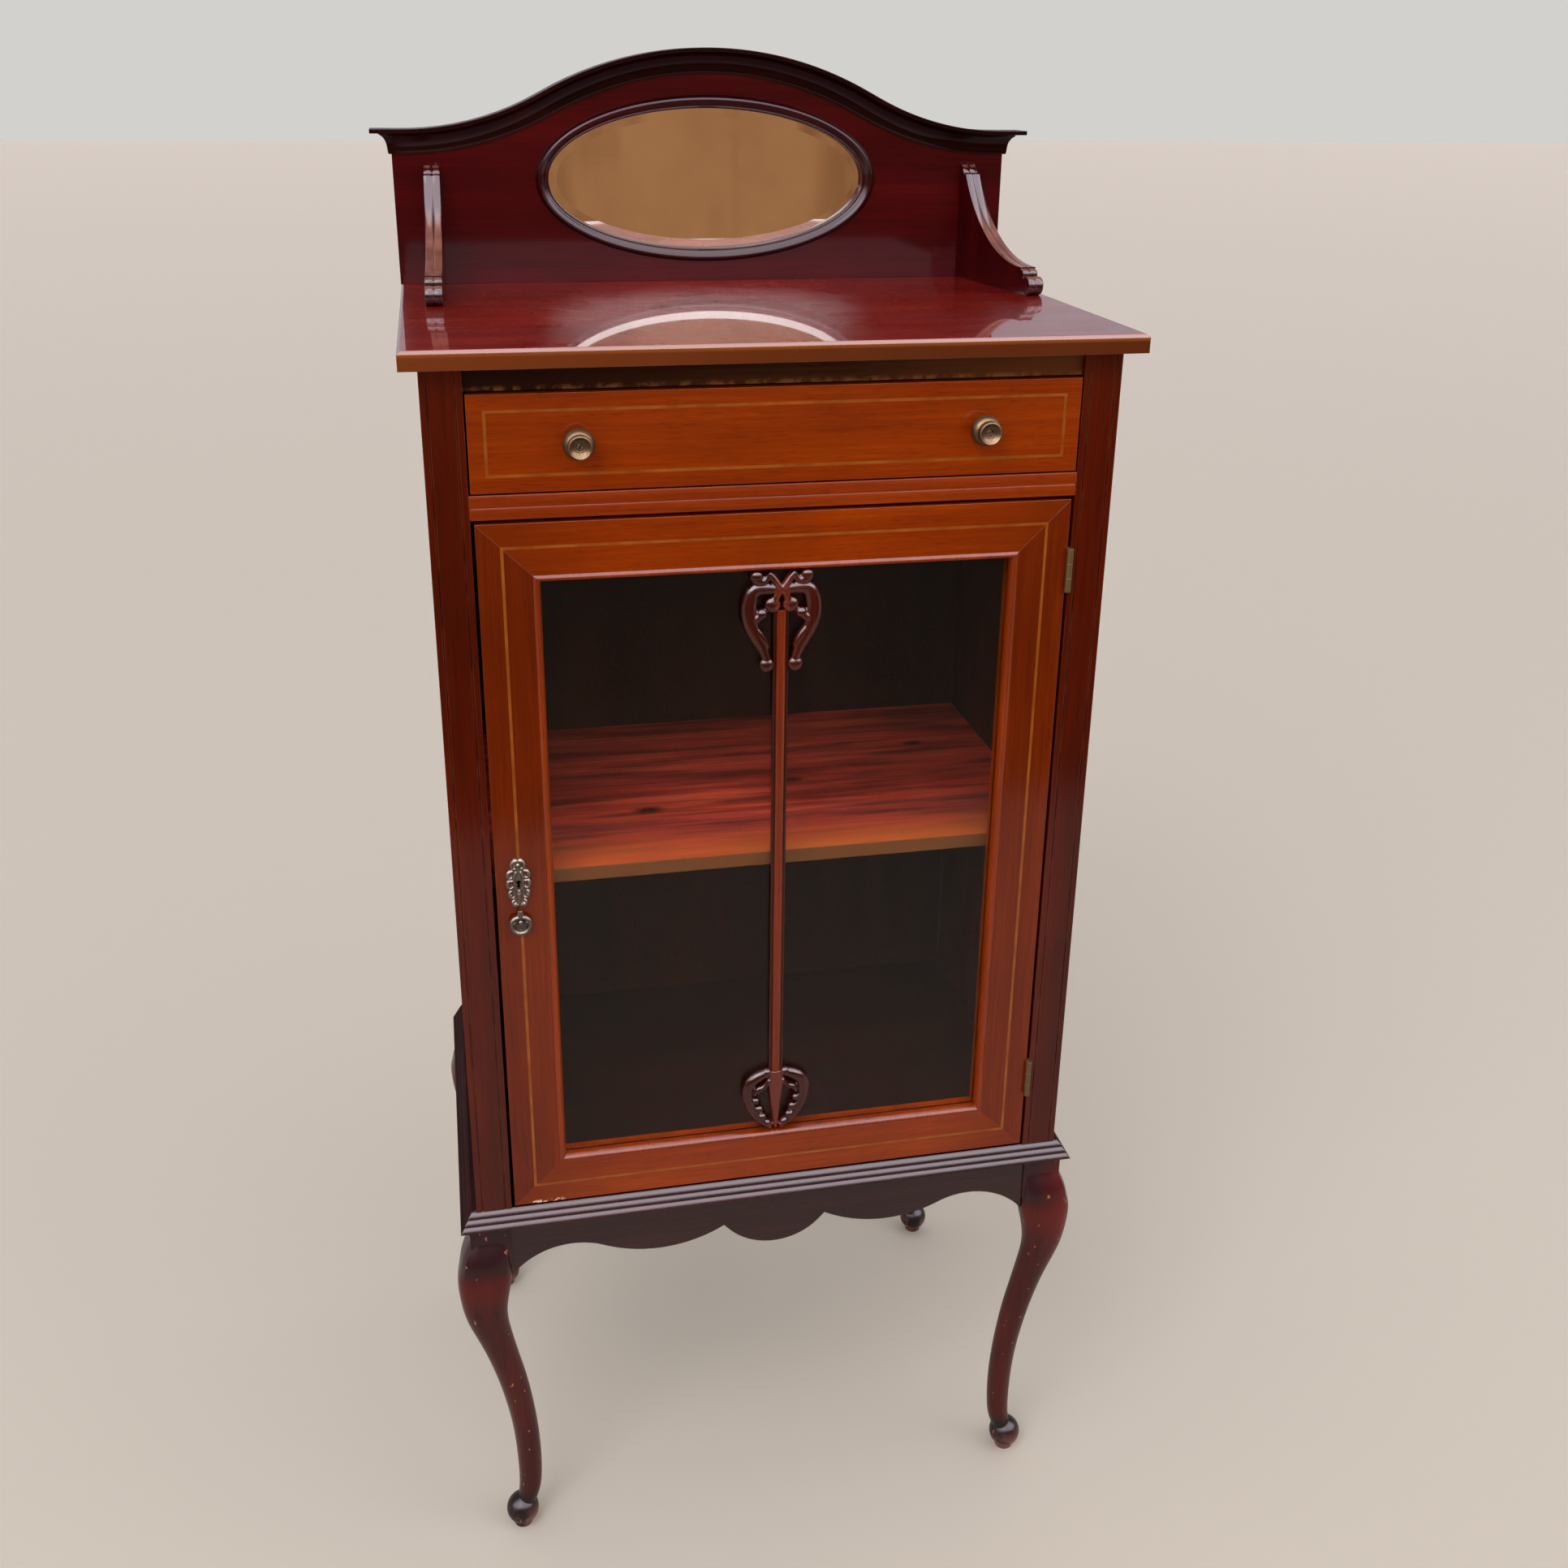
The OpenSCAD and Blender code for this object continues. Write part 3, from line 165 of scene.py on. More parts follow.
def paintedKeyholeShade(tree, at, colour):  # painted shade: near-black wood behind the lock plate's keyhole, so that the hole looks dark
    reach = reachFrom(tree, at["place"], (keyhole["x"], 0.0, keyhole["z"] - 0.002), (1.0, 0.0, 0.55))
    return painted(tree, colour, (within(tree, reach, 0.0045, 0.0035), "#040202"))


def redderStem(tree, at, colour):  # the middle of the carving is redder, like the bar
    return painted(tree, colour, (within(tree, at["aside"], 0.0075, 0.0045), "#5e1e0e"))


def darkReeds(tree, at, colour):  # the bar's two thin reeds kept their dark polish
    return painted(tree, colour, (within(tree, at["aside"], 0.0034, 0.0044), "#340c06"))


def shadedRail(tree, at, colour):  # the rail above the drawer: painted shade darkens its left, where the top board shades it, and painted light brightens its right; pale worn specks along its foot
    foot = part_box("top_rail")[0].z
    specks = addNode(tree, "TexNoise", {"Vector": at["place"], "Scale": 160.0, "Detail": 4.0})
    patchy, low = within(tree, specks, 0.42, 0.62), within(tree, at["z"], foot + 0.0045, foot - 0.0012)
    return painted(tree, colour, (within(tree, at["x"], 0.02, -0.20), "#260c02"),
                   (within(tree, at["x"], 0.05, 0.24), "#5c3010"), (patchy, low, "#8a5a2a"))


def dustAndSheenOnTop(tree, at, colour):  # dust and a painted sheen on faces that look up: they turn pale pink-brown in patches
    surface = addNode(tree, "NewGeometry").outputs["Normal"]
    up = addNode(tree, "SeparateXYZ", {0: surface}).outputs["Z"]
    patches = addNode(tree, "TexNoise", {"Vector": at["place"], "Scale": 60.0, "Detail": 4.0})
    share = within(tree, patches, 0.35, 0.65, least=0.55, most=0.95)
    return painted(tree, colour, (within(tree, up, 0.66, 0.76), share, "#8a5648"))


def standShadeAndWear(tree, at, colour):  # painted shade makes the blocks violet-dark and the feet near-black; redder knees, worn pads and small rubbed flecks
    scuffs = addNode(tree, "TexNoise", {"Vector": at["place"], "Scale": 48.0, "Detail": 3.0})
    drawnOut = addNode(tree, "VectorMath", {0: at["place"], 1: (1.0, 1.0, 0.45)}, operation="MULTIPLY")
    specks = addNode(tree, "TexNoise", {"Vector": drawnOut, "Scale": 210.0, "Detail": 2.0})
    # painted shade: the top blocks and the feet are darkened
    block = (within(tree, at["z"], 0.318, 0.332), "#2a1216")
    foot = (within(tree, at["z"], 0.052, 0.036), "#1c1012")
    knee = (within(tree, at["z"], 0.280, 0.300, 0.314, 0.326), 0.5, "#5c120a")
    outerKnee = (within(tree, at["x"], 0.262, 0.290), within(tree, at["z"], 0.24, 0.30), 0.45, "#6c0e08")
    scuff = (within(tree, at["z"], 0.028, 0.014), within(tree, scuffs, 0.44, 0.52), "#6e4438")
    fleck = (within(tree, specks, 0.700, 0.725), "#9a5c40")
    return painted(tree, colour, block, foot, knee, outerKnee, scuff, fleck)


# Wood finishes
# Mahogany, planed and French polished: fine straight pores, a slow ribbon of lighter wood, a thin glossy
# skin of shellac. Pores are really 0.2 mm wide and are drawn 0.8 mm wide so that they show.
grainOrder = {"x": "xyz", "y": "yxz", "z": "zxy"}  # along the grain first
grainSize = {  # length, width and the noise's detail
    "ribbon": (0.42, 0.030, 3.0), "line": (0.110, 0.0026, 3.0), "pore": (0.014, 0.0008, 0.0)}
plainPolish = {"wear": 0.3, "edge": 0.0008, "rough": 0.38, "lacquer": 0.7, "lacquerRough": 0.10,
               "lacquerIor": 1.42, "bloom": 0.02, "pore": 0.15, "over": None}
warmTones = ("#702200", "#822c00", "#953902", "#b0683a")
doorTones = ("#581800", "#681f00", "#7a2a02", "#a05830")
woods = {  # tones are dark, middle, light and worn; the rest is where a wood differs from plain polish
    "warm mahogany": {  # drawer front and glazing beads: faded to orange-brown
        "tones": warmTones, "wear": 0.5, "pore": 0.2,
        "boards": {"x": ("drawer_front",), "z": ("glazing_beads",)}},
    "mitred mahogany": {  # top rail of the door: darker at its mitres
        "tones": warmTones, "wear": 0.5, "pore": 0.2, "over": cornerFade,
        "boards": {"x": ("door_rail_top",)}},
    "chipped mahogany": {  # bottom rail of the door: the same, and chipped
        "tones": warmTones, "wear": 0.5, "pore": 0.2, "over": chippedFoot,
        "boards": {"x": ("door_rail_bottom",)}},
    "rubbed mahogany": {  # rail between drawer and door: its shine is gone
        "tones": warmTones, "wear": 0.5, "pore": 0.2, "lacquer": 0.3, "lacquerRough": 0.2,
        "boards": {"x": ("drawer_rail",)}},
    "door mahogany": {  # hinge stile, and strips behind the glass: the same wood, darker
        "tones": doorTones, "wear": 0.5, "boards": {"z": ("door_stile_hinge", "glass_retainers")}},
    "lock mahogany": {  # stile behind the lock plate, with painted shade behind the keyhole
        "tones": doorTones, "wear": 0.5, "over": paintedKeyholeShade, "boards": {"z": ("door_stile_lock",)}},
    "dark mahogany": {  # stiles of the carcass: dark red-brown
        "tones": ("#3a0900", "#4a0d00", "#5a1602", "#8a4526"),
        "wear": 0.6, "edge": 0.0010, "lacquerRough": 0.12, "pore": 0.12,
        "boards": {"z": ("stile_left", "stile_right")}},
    "dull mahogany": {  # sides: the same wood, darkened as painted shade, and without shine
        "tones": ("#1c0402", "#2a0904", "#381008", "#7a3e28"),
        "wear": 0.5, "edge": 0.0010, "rough": 0.75, "lacquer": 0.0, "lacquerRough": 0.3, "pore": 0.3,
        "boards": {"z": ("side_left", "side_right")}},
    "red mahogany": {  # panel of the gallery: dark red, glossy
        "tones": ("#2e0004", "#400107", "#500408", "#7d3a30"),
        "wear": 0.4, "edge": 0.0010, "rough": 0.34, "lacquer": 0.5, "lacquerRough": 0.08,
        "boards": {"x": ("gallery_panel",)}},
    "bracket mahogany": {  # brackets: darker, with dust and a painted sheen on what faces up
        "tones": ("#200003", "#300205", "#3e0506", "#7d3a30"),
        "rough": 0.34, "lacquer": 0.9, "over": dustAndSheenOnTop, "boards": {"z": ("bracket_left", "bracket_right")}},
    "oval mahogany": {  # moulding round the mirror
        "tones": ("#1c0002", "#2a0305", "#380507", "#7d3a30"),
        "rough": 0.34, "lacquer": 0.5, "lacquerRough": 0.12, "boards": {"x": ("mirror_moulding",)}},
    "carved mahogany": {  # carvings: red-brown, catching the light
        "tones": ("#240402", "#360a05", "#481307", "#8a4c3c"),
        "rough": 0.36, "lacquer": 0.8, "lacquerRough": 0.14, "lacquerIor": 1.5, "over": redderStem,
        "boards": {"z": ("carving_top", "carving_bottom")}},
    "bar mahogany": {  # centre bar: warmer, its middle rubbed orange
        "tones": ("#5a1804", "#702408", "#883410", "#96503c"),
        "wear": 0.4, "rough": 0.36, "lacquer": 0.8, "lacquerRough": 0.14, "over": darkReeds,
        "boards": {"z": ("centre_bar",)}},
    "top mahogany": {  # top board: the glossiest face
        "tones": ("#64100a", "#801a10", "#982612", "#c07a50"),
        "rough": 0.3, "lacquer": 1.0, "lacquerRough": 0.02, "pore": 0.2, "bloom": 0.12, "over": topEdge,
        "boards": {"x": ("top_board",)}},
    "cornice mahogany": {  # cornice: nearly black under old polish
        "tones": ("#0c0000", "#160001", "#240402", "#5a2a22"),
        "wear": 0.35, "edge": 0.0010, "rough": 0.36, "lacquer": 0.35, "boards": {"x": ("cornice",)}},
    "stand mahogany": {  # aprons and front length of the base moulding: purple-brown polish
        "tones": ("#1e080a", "#2a0e10", "#381617", "#8a5240"),
        "wear": 0.45, "edge": 0.0012, "rough": 0.4, "lacquer": 1.0, "lacquerRough": 0.2, "pore": 0.2,
        "boards": {"x": ("apron_front", "base_moulding_front"), "y": ("apron_left", "apron_right")}},
    "dull stand mahogany": {  # side lengths of the base moulding: darkened as painted shade, and dull
        "tones": ("#1a0a0a", "#241010", "#301817", "#5a4038"),
        "wear": 0.4, "edge": 0.0012, "rough": 0.7, "lacquer": 0.04, "lacquerRough": 0.4, "pore": 0.2,
        "boards": {"y": ("base_moulding_sides",)}},
    "leg mahogany": {  # legs: redder, rubbed through in places
        "tones": ("#2c0806", "#3e0d09", "#52160e", "#8a5240"),
        "wear": 0.5, "edge": 0.0012, "rough": 0.4, "lacquer": 0.62, "lacquerRough": 0.26, "over": standShadeAndWear,
        "boards": {"z": ("leg_front_left", "leg_front_right", "leg_back_left", "leg_back_right")}},
    "stripped mahogany": {  # rail above the drawer: stripped, olive brown
        "tones": ("#2c1204", "#402006", "#542e0c", "#8a6434"),
        "wear": 0.4, "edge": 0.0010, "rough": 0.5, "lacquer": 0.15, "lacquerRough": 0.3, "pore": 0.3,
        "over": shadedRail, "boards": {"x": ("top_rail",)}},
    "old deal": {  # inside boards: bare softwood, brown with age
        "tones": ("#120402", "#1d0804", "#2a1006", "#5a3d24"),
        "edge": 0.0010, "rough": 0.72, "lacquer": 0.0, "lacquerRough": 0.4, "pore": 0.25,
        "boards": {"x": ("stand_back_rail", "bottom_board", "drawer_back", "drawer_bottom",
                         "mirror_backboard"),
                   "y": ("drawer_runners", "drawer_kickers", "shelf_bearers", "drawer_side_left",
                         "drawer_side_right"),
                   "z": ("corner_blocks", "back_board")}},
    "stained pine": {  # shelf: pine stained red, its face streaky
        "tones": ("#5a140e", "#86281a", "#a84226", "#a8602c"),
        "edge": 0.0010, "rough": 0.5, "lacquer": 0.3, "lacquerRough": 0.25, "pore": 0.2,
        "over": shelfFace, "boards": {"x": ("shelf",)}}}


def grainField(tree, at, grain, look):  # colour, figure and pores of a board whose grain runs along one axis
    turned = addNode(tree, "CombineXYZ", dict(enumerate(at[axis] for axis in grainOrder[grain])))
    sway = addNode(tree, "VectorMath", {0: turned, 1: (3.0, 9.0, 9.0)}, operation="MULTIPLY")
    swayNoise = addNode(tree, "TexNoise", {"Vector": sway, "Scale": 1.0, "Detail": 2.0}).outputs["Color"]
    swayed = addNode(tree, "VectorMath", {0: swayNoise, 1: (0.0, 0.012, 0.012), 2: turned},
                     operation="MULTIPLY_ADD")
    fields = []
    for length, width, detail in grainSize.values():
        drawnOut = addNode(tree, "VectorMath", {0: swayed, 1: (1 / length, 1 / width, 1 / width)},
                           operation="MULTIPLY")
        fields.append(addNode(tree, "TexNoise", {"Vector": drawnOut, "Scale": 1.0, "Detail": detail,
                                                 "Roughness": 0.6}))
    figure = addNode(tree, "Mix", {"A": fields[0], "B": fields[1], "Factor": 0.42})
    dark, middle, light, worn = look["tones"]
    colour = addNode(tree, "ValToRGB", {"Fac": figure}, ((0.32, dark), (0.5, middle), (0.70, light)))
    return colour, figure, within(tree, fields[2], 0.60, 0.70, most=look["pore"])


def edgeWear(tree, at, look):  # softened normal, and wear on the arrises, broken up into patches
    bevel = addNode(tree, "Bevel", {"Radius": look["edge"]}, samples=4)
    surface = addNode(tree, "NewGeometry").outputs["Normal"]
    facing = addNode(tree, "VectorMath", {0: bevel, 1: surface}, operation="DOT_PRODUCT").outputs["Value"]
    patches = addNode(tree, "TexNoise", {"Vector": at["place"], "Scale": 38.0, "Detail": 4.0})
    turned, patchy = within(tree, facing, 0.985, 0.86), within(tree, patches, 0.42, 0.60)
    return bevel, together(tree, turned, patchy, look["wear"])


def polishedWood(name, look, grain):
    material, tree = newMaterial(name)
    at = placeOn(tree)
    colour, figure, pores = grainField(tree, at, grain, look)
    bent, worn = edgeWear(tree, at, look)
    cloud = addNode(tree, "TexNoise", {"Vector": at["place"], "Scale": 5.0, "Detail": 3.0})
    shade = within(tree, cloud, 0.3, 0.7, least=0.82, most=1.14)
    shaded = addNode(tree, "VectorMath", {0: colour, "Scale": shade}, operation="SCALE")
    finished = painted(tree, shaded.outputs[0], (pores, "#0d0302"))
    if look["over"]:
        finished = look["over"](tree, at, finished)
    rubbed = painted(tree, finished, (worn, look["tones"][3]))
    lacquer = look["lacquer"]
    skin = addNode(tree, "Math", {0: worn, 1: -0.7 * lacquer, 2: lacquer}, operation="MULTIPLY_ADD")
    smears = addNode(tree, "TexNoise", {"Vector": at["place"], "Scale": 21.0, "Detail": 5.0})
    rough = within(tree, smears, 0.3, 0.7, least=look["rough"] - 0.06, most=look["rough"] + 0.1)
    sunk = together(tree, pores, -1.0)
    relief = addNode(tree, "Math", {0: figure, 1: 0.4, 2: sunk}, operation="MULTIPLY_ADD")
    bump = addNode(tree, "Bump", {"Height": relief, "Normal": bent, "Strength": 0.25, "Distance": 0.0003})
    shader = addNode(tree, "BsdfPrincipled", {
        "Base Color": rubbed, "Roughness": rough, "Normal": bump, "Coat Normal": bent, "Coat Weight": skin,
        "Coat Roughness": look["lacquerRough"], "Coat IOR": look["lacquerIor"],
        "Specular IOR Level": look["bloom"]})
    addNode(tree, "OutputMaterial", {"Surface": shader})
    return material


madeWoods = {}


def wood(woodName, grain):  # the wood's material for one direction of grain, made when it is first asked for
    if (woodName, grain) not in madeWoods:
        label = {"x": "across", "y": "deep", "z": "upright"}[grain]
        look = plainPolish | woods[woodName]
        madeWoods[woodName, grain] = polishedWood(f"French polished {woodName} {label}", look, grain)
    return madeWoods[woodName, grain]


def dress(material, *names):  # puts a material on CAD nodes
    for name in names:
        data = nodes[name].data
        data.materials.clear()
        data.materials.append(material)


print("finishes")
for woodName, look in woods.items():
    for grain, names in look.get("boards", {}).items():
        dress(wood(woodName, grain), *names)


def agedBrass(name, bright, dull, rough):
    # Cast brass, once lacquered: a grey-brown skin, darker in the hollows and brighter where hands rub it
    material, tree = newMaterial(name)
    place = addNode(tree, "TexCoord").outputs["Object"]
    bevel = addNode(tree, "Bevel", {"Radius": 0.0005}, samples=4)
    ridge = within(tree, addNode(tree, "NewGeometry").outputs["Pointiness"], 0.46, 0.56)
    spots = addNode(tree, "TexNoise", {"Vector": place, "Scale": 700.0, "Detail": 4.0})
    tarnish = within(tree, spots, 0.36, 0.64, least=-0.15, most=0.15)
    level = addNode(tree, "Math", {0: ridge, 1: tarnish}, operation="ADD", use_clamp=True)
    colour = addNode(tree, "ValToRGB", {"Fac": level}, ((0.0, dull), (1.0, bright)))
    roughness = within(tree, spots, 0.3, 0.7, least=rough + 0.12, most=rough)
    bump = addNode(tree, "Bump", {"Height": spots, "Normal": bevel, "Strength": 0.15, "Distance": 0.0001})
    shader = addNode(tree, "BsdfPrincipled", {"Base Color": colour, "Roughness": roughness, "Normal": bump,
                                              "Metallic": 0.9})
    addNode(tree, "OutputMaterial", {"Surface": shader})
    return material


castBrass = agedBrass("Aged cast brass", "#8a7c70", "#40362f", 0.4)
turnedBrass = agedBrass("Turned brass knob", "#6e5c44", "#4c3a28", 0.34)
screwBrass = agedBrass("Turned brass screw", "#a08a58", "#5a4a30", 0.36)
dropBrass = agedBrass("Aged brass of the pull", "#8a7c70", "#1e1814", 0.36)
dress(turnedBrass, "drawer_knobs")
dress(castBrass, "escutcheon")
dress(dropBrass, "drop_pull")
dress(agedBrass("Old hinge brass", "#6c5838", "#3c3020", 0.4), "hinge_leaves_carcass", "hinge_leaves_door")
dress(screwBrass, "gallery_screws", "hinge_screws_carcass", "hinge_screws_door", "knob_screws",
      "lock_fixings")
# Steel of the lock, blackened with age: the same worn skin, nearly black
dress(agedBrass("Blackened lock steel", "#2c2a28", "#141312", 0.5), "lock_case", "lock_bolt")


def mottledSurface(name, scale, detail, stops, finish):  # a colour that drifts between two tones
    material, tree = newMaterial(name)
    place = addNode(tree, "TexCoord").outputs["Object"]
    drift = addNode(tree, "TexNoise", {"Vector": place, "Scale": scale, "Detail": detail})
    colour = addNode(tree, "ValToRGB", {"Fac": drift}, stops)
    shader = addNode(tree, "BsdfPrincipled", {"Base Color": colour} | finish)
    addNode(tree, "OutputMaterial", {"Surface": shader})
    return material


# Boxwood line let into the mahogany and polished over: barely paler than the wood round it
overPolish = {"Roughness": 0.4, "Coat Weight": 0.7, "Coat Roughness": 0.1, "Coat IOR": 1.42,
              "Specular IOR Level": 0.02}
inlaidLine = mottledSurface("Inlaid boxwood line, polished over", 55.0, 3.0,
                            ((0.3, "#7e3c0e"), (0.7, "#94501c")), overPolish)
# Silvered plate glass, a little grey with age
mirrorPlate = mottledSurface("Silvered mirror plate", 14.0, 4.0, ((0.3, "#e2dcd4"), (0.6, "#f0ece6")),
                             {"Metallic": 1.0, "Roughness": 0.015})


def sheetGlass(name, tint):
    # Old sheet glass: clear and faintly green. Lamps pass straight through it.
    material, tree = newMaterial(name)
    glass = addNode(tree, "BsdfPrincipled", {"Base Color": tint, "Roughness": 0.0, "IOR": 1.22,
                                             "Transmission Weight": 1.0})
    clear = addNode(tree, "BsdfTransparent", {"Color": tint})
    shadow = addNode(tree, "LightPath").outputs["Is Shadow Ray"]
    addNode(tree, "OutputMaterial", {"Surface": addNode(tree, "MixShader", {0: shadow, 1: glass, 2: clear})})
    return material


dress(inlaidLine, "door_stringing", "drawer_stringing")
dress(mirrorPlate, "mirror_glass")
dress(sheetGlass("Old sheet glass", "#f2f5f3"), "door_glass")


# Shaping helpers
def linked(name, data):  # a new object in the scene
    thing = bpy.data.objects.new(name, data)
    scene.collection.objects.link(thing)
    return thing


def meshFrom(bm, name, merged=True):  # closes a bmesh into a mesh with its faces outwards
    if merged:
        bmesh.ops.remove_doubles(bm, verts=bm.verts, dist=0.000001)
    bmesh.ops.recalc_face_normals(bm, faces=bm.faces)
    if bm.calc_volume(signed=True) < 0:
        bmesh.ops.reverse_faces(bm, faces=bm.faces)
    mesh = bpy.data.meshes.new(name)
    bm.to_mesh(mesh)
    bm.free()
    return mesh


def pieceFrom(node, ending, shape, material, body, angle=40):  # a piece that replaces a CAD node
    name = f"{node}_{ending}"
    mesh = meshFrom(shape, name) if isinstance(shape, bmesh.types.BMesh) else shape
    mesh.materials.clear()
    mesh.materials.append(material)
    mesh.shade_smooth()
    mesh.set_sharp_from_angle(angle=math.radians(angle))
    piece = linked(name, mesh)
    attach(piece, body)
    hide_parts(node)


def keptMesh(holder, name):  # the mesh that a working object's modifiers make; the object goes
    result = bpy.data.meshes.new_from_object(holder.evaluated_get(bpy.context.evaluated_depsgraph_get()))
    result.name = name
    bpy.data.objects.remove(holder)
    return result


def withModifiers(name, mesh, *steps):
    holder = linked(name + "_work", mesh)
    for kind, settings in steps:
        modifier = holder.modifiers.new(kind, kind)
        for key, value in settings.items():
            setattr(modifier, key, value)
    return keptMesh(holder, name)


def skinRings(bm, rings, closedRing=True, capped=False):  # skins rings with quads, may fill both ends
    rows = [[bm.verts.new(p) for p in ring] for ring in rings]
    count = len(rows[0])
    for low, high in zip(rows, rows[1:]):
        for k in range(count if closedRing else count - 1):
            bm.faces.new((low[k], low[(k + 1) % count], high[(k + 1) % count], high[k]))
    if capped:
        bm.faces.new(rows[0])
        bm.faces.new(rows[-1])
    return rows


def mouldingRuns(*runs):  # lengths of moulding, each between its end rings
    bm = bmesh.new()
    for rings in runs:
        skinRings(bm, rings, capped=True)
    bmesh.ops.triangulate(bm, faces=[face for face in bm.faces if len(face.verts) > 4])
    return bm


def fullTurn(count):  # angles round a circle
    return [2 * math.pi * k / count for k in range(count)]


def smoothedCopy(node, levels=1, angle=32):  # a CAD node's skin, rounded between its sharp edges
    source = nodes[node].data
    mesh = bpy.data.meshes.new(node + "_skin")
    faces = [tuple(p.vertices) for p in source.polygons]
    mesh.from_pydata([tuple(v.co) for v in source.vertices], [], faces)
    bm = bmesh.new()
    bm.from_mesh(mesh)
    bmesh.ops.remove_doubles(bm, verts=bm.verts, dist=0.00001)
    bmesh.ops.recalc_face_normals(bm, faces=bm.faces)
    bmesh.ops.join_triangles(bm, faces=bm.faces, angle_face_threshold=math.radians(12),
                             angle_shape_threshold=math.radians(60))
    crease = bm.edges.layers.float.new("crease_edge")
    for edge in bm.edges:
        if len(edge.link_faces) != 2 or edge.calc_face_angle(0) > math.radians(angle):
            edge[crease] = 1.0
    bm.to_mesh(mesh)
    bm.free()
    return withModifiers(node + "_smooth", mesh, ("SUBSURF", {"levels": levels, "render_levels": levels}))


def smoothPath(points, steps=6):  # passes a smooth line through points of any length
    line = []
    for i in range(len(points) - 1):
        around = points[max(i - 1, 0)], points[i], points[i + 1], points[min(i + 2, len(points) - 1)]
        for k in range(steps):
            t = k / steps
            line.append([0.5 * (2 * b + (c - a) * t + (2 * a - 5 * b + 4 * c - d) * t * t
                                + (3 * b - a - 3 * c + d) * t ** 3) for a, b, c, d in zip(*around)])
    line.append(list(points[-1]))
    return line


def addStrand(bm, points, sides=12):  # rounded strand through points of x, z, width, front y and back y
    line = smoothPath(points)
    rings = []
    for i, (x, z, width, front, back) in enumerate(line):
        ahead, behind = line[min(i + 1, len(line) - 1)], line[max(i - 1, 0)]
        along = Vector((ahead[0] - behind[0], 0, ahead[1] - behind[1])).normalized()
        sideways = Vector((along.z, 0, -along.x))
        centre = Vector((x, (front + back) / 2, z))
        depth = (back - front) / 2
        rings.append([centre + sideways * math.cos(a) * width / 2 - Vector((0, math.sin(a) * depth, 0))
                      for a in fullTurn(sides)])
    skinRings(bm, rings, capped=True)


def addBoss(bm, x, z, radius, front, back):  # rounded boss
    centre = Vector((x, (front + back) / 2, z))
    reach = Vector((radius, (back - front) / 2, radius))
    for v in bmesh.ops.create_uvsphere(bm, u_segments=16, v_segments=10, radius=1.0)["verts"]:
        v.co = centre + v.co * reach


def carvedMesh(name, look, place, unit, frontY, backY):
    # strands and bosses, mirrored, melted together and flat at the back; unit is one across and one up
    bm = bmesh.new()
    full = look.get("full", 1.0) / 1000
    rootY = backY + 0.0012  # behind the face that everything stands on, and cut off there at the end
    for side in (1, -1):
        for points in look["strands"]:
            addStrand(bm, [(place[0] + side * x * unit[0], place[1] + z * unit[1], width * full,
                            frontY + back / 1000, rootY) for x, z, width, back in points])
        for x, z, radius, lift in look["bosses"]:
            addBoss(bm, place[0] + side * x * unit[0], place[1] + z * unit[1], radius * full,
                    frontY + lift / 1000, rootY)
    mesh = withModifiers(name, meshFrom(bm, name, merged=False),
                         ("REMESH", {"mode": "VOXEL", "voxel_size": look["voxel"]}),
                         ("SMOOTH", {"factor": 0.5, "iterations": 2}))
    for v in mesh.vertices:
        v.co.y = min(v.co.y, backY)
    return mesh


# Turned, carved and moulded wood
print("smoothed wood")
smoothed = {"leg_front_left": 2, "leg_front_right": 2, "leg_back_left": 1, "leg_back_right": 1}  # levels
for node, levels in smoothed.items():
    pieceFrom(node, "smooth", smoothedCopy(node, levels), wood("leg mahogany", "z"), "cabinet",
              35)
pieceFrom("apron_front", "smooth", smoothedCopy("apron_front"), wood("stand mahogany", "x"), "cabinet",
          35)
pieceFrom("cornice", "smooth", smoothedCopy("cornice"), wood("cornice mahogany", "x"), "cabinet",
          35)

# Rail between drawer and door: a flat band over a broad shallow round, with a groove between them
rail = {"edge": 0.0006, "round": 0.0006, "groove": 0.0010, "lip": 0.0008, "bandEdge": 0.0004, "steps": 10}
low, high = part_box("drawer_rail")
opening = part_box("stile_left")[1].x
middle, edge = (low.z + high.z) / 2, rail["edge"]
railSection = [(high.y, low.z), (low.y + 2 * edge, low.z)]
for k in range(rail["steps"] + 1):
    t = k / rail["steps"]
    railSection.append((low.y + edge - rail["round"] * math.sin(math.pi * t),
                        low.z + edge + (middle - low.z - 2 * edge) * t))
railSection += [(low.y + rail["groove"], middle), (low.y + rail["bandEdge"] / 2, middle + rail["lip"]),
                (low.y, middle + 2 * rail["lip"]), (low.y, high.z - edge),
                (low.y + rail["bandEdge"], high.z), (high.y, high.z)]
railRun = mouldingRuns([[(x, y, z) for y, z in railSection] for x in (opening, -opening)])
pieceFrom("drawer_rail", "shaped", railRun, wood("rubbed mahogany", "x"), "cabinet")

# Brackets between gallery and top board: a curve with two reeds along its edge, a rounded cap, a bead and a
# scroll. Lengths are in millimetres, splay in degrees, and a reed's points are across and inset.
bracket = {"inset": 259.0, "reach": 156.0, "height": 109.0, "cap": 10.0, "capDepth": 8.0, "head": 13.0,
           "noseHeight": 24.5, "noseIn": 18.0, "scroll": 8.5, "bead": 4.2, "steps": 28,
           "reeds": ((-7.5, 1.2), (-7.3, 0.5), (-6.8, 0.15), (-4.0, 0.0), (-1.4, 0.12), (-0.7, 0.4),
                     (0.0, 0.9), (0.7, 0.4), (1.4, 0.12), (4.0, 0.0), (6.8, 0.15), (7.3, 0.5), (7.5, 1.2)),
           "splay": {"bracket_left": -2.0, "bracket_right": 8.0}}
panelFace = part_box("gallery_panel")[0].y
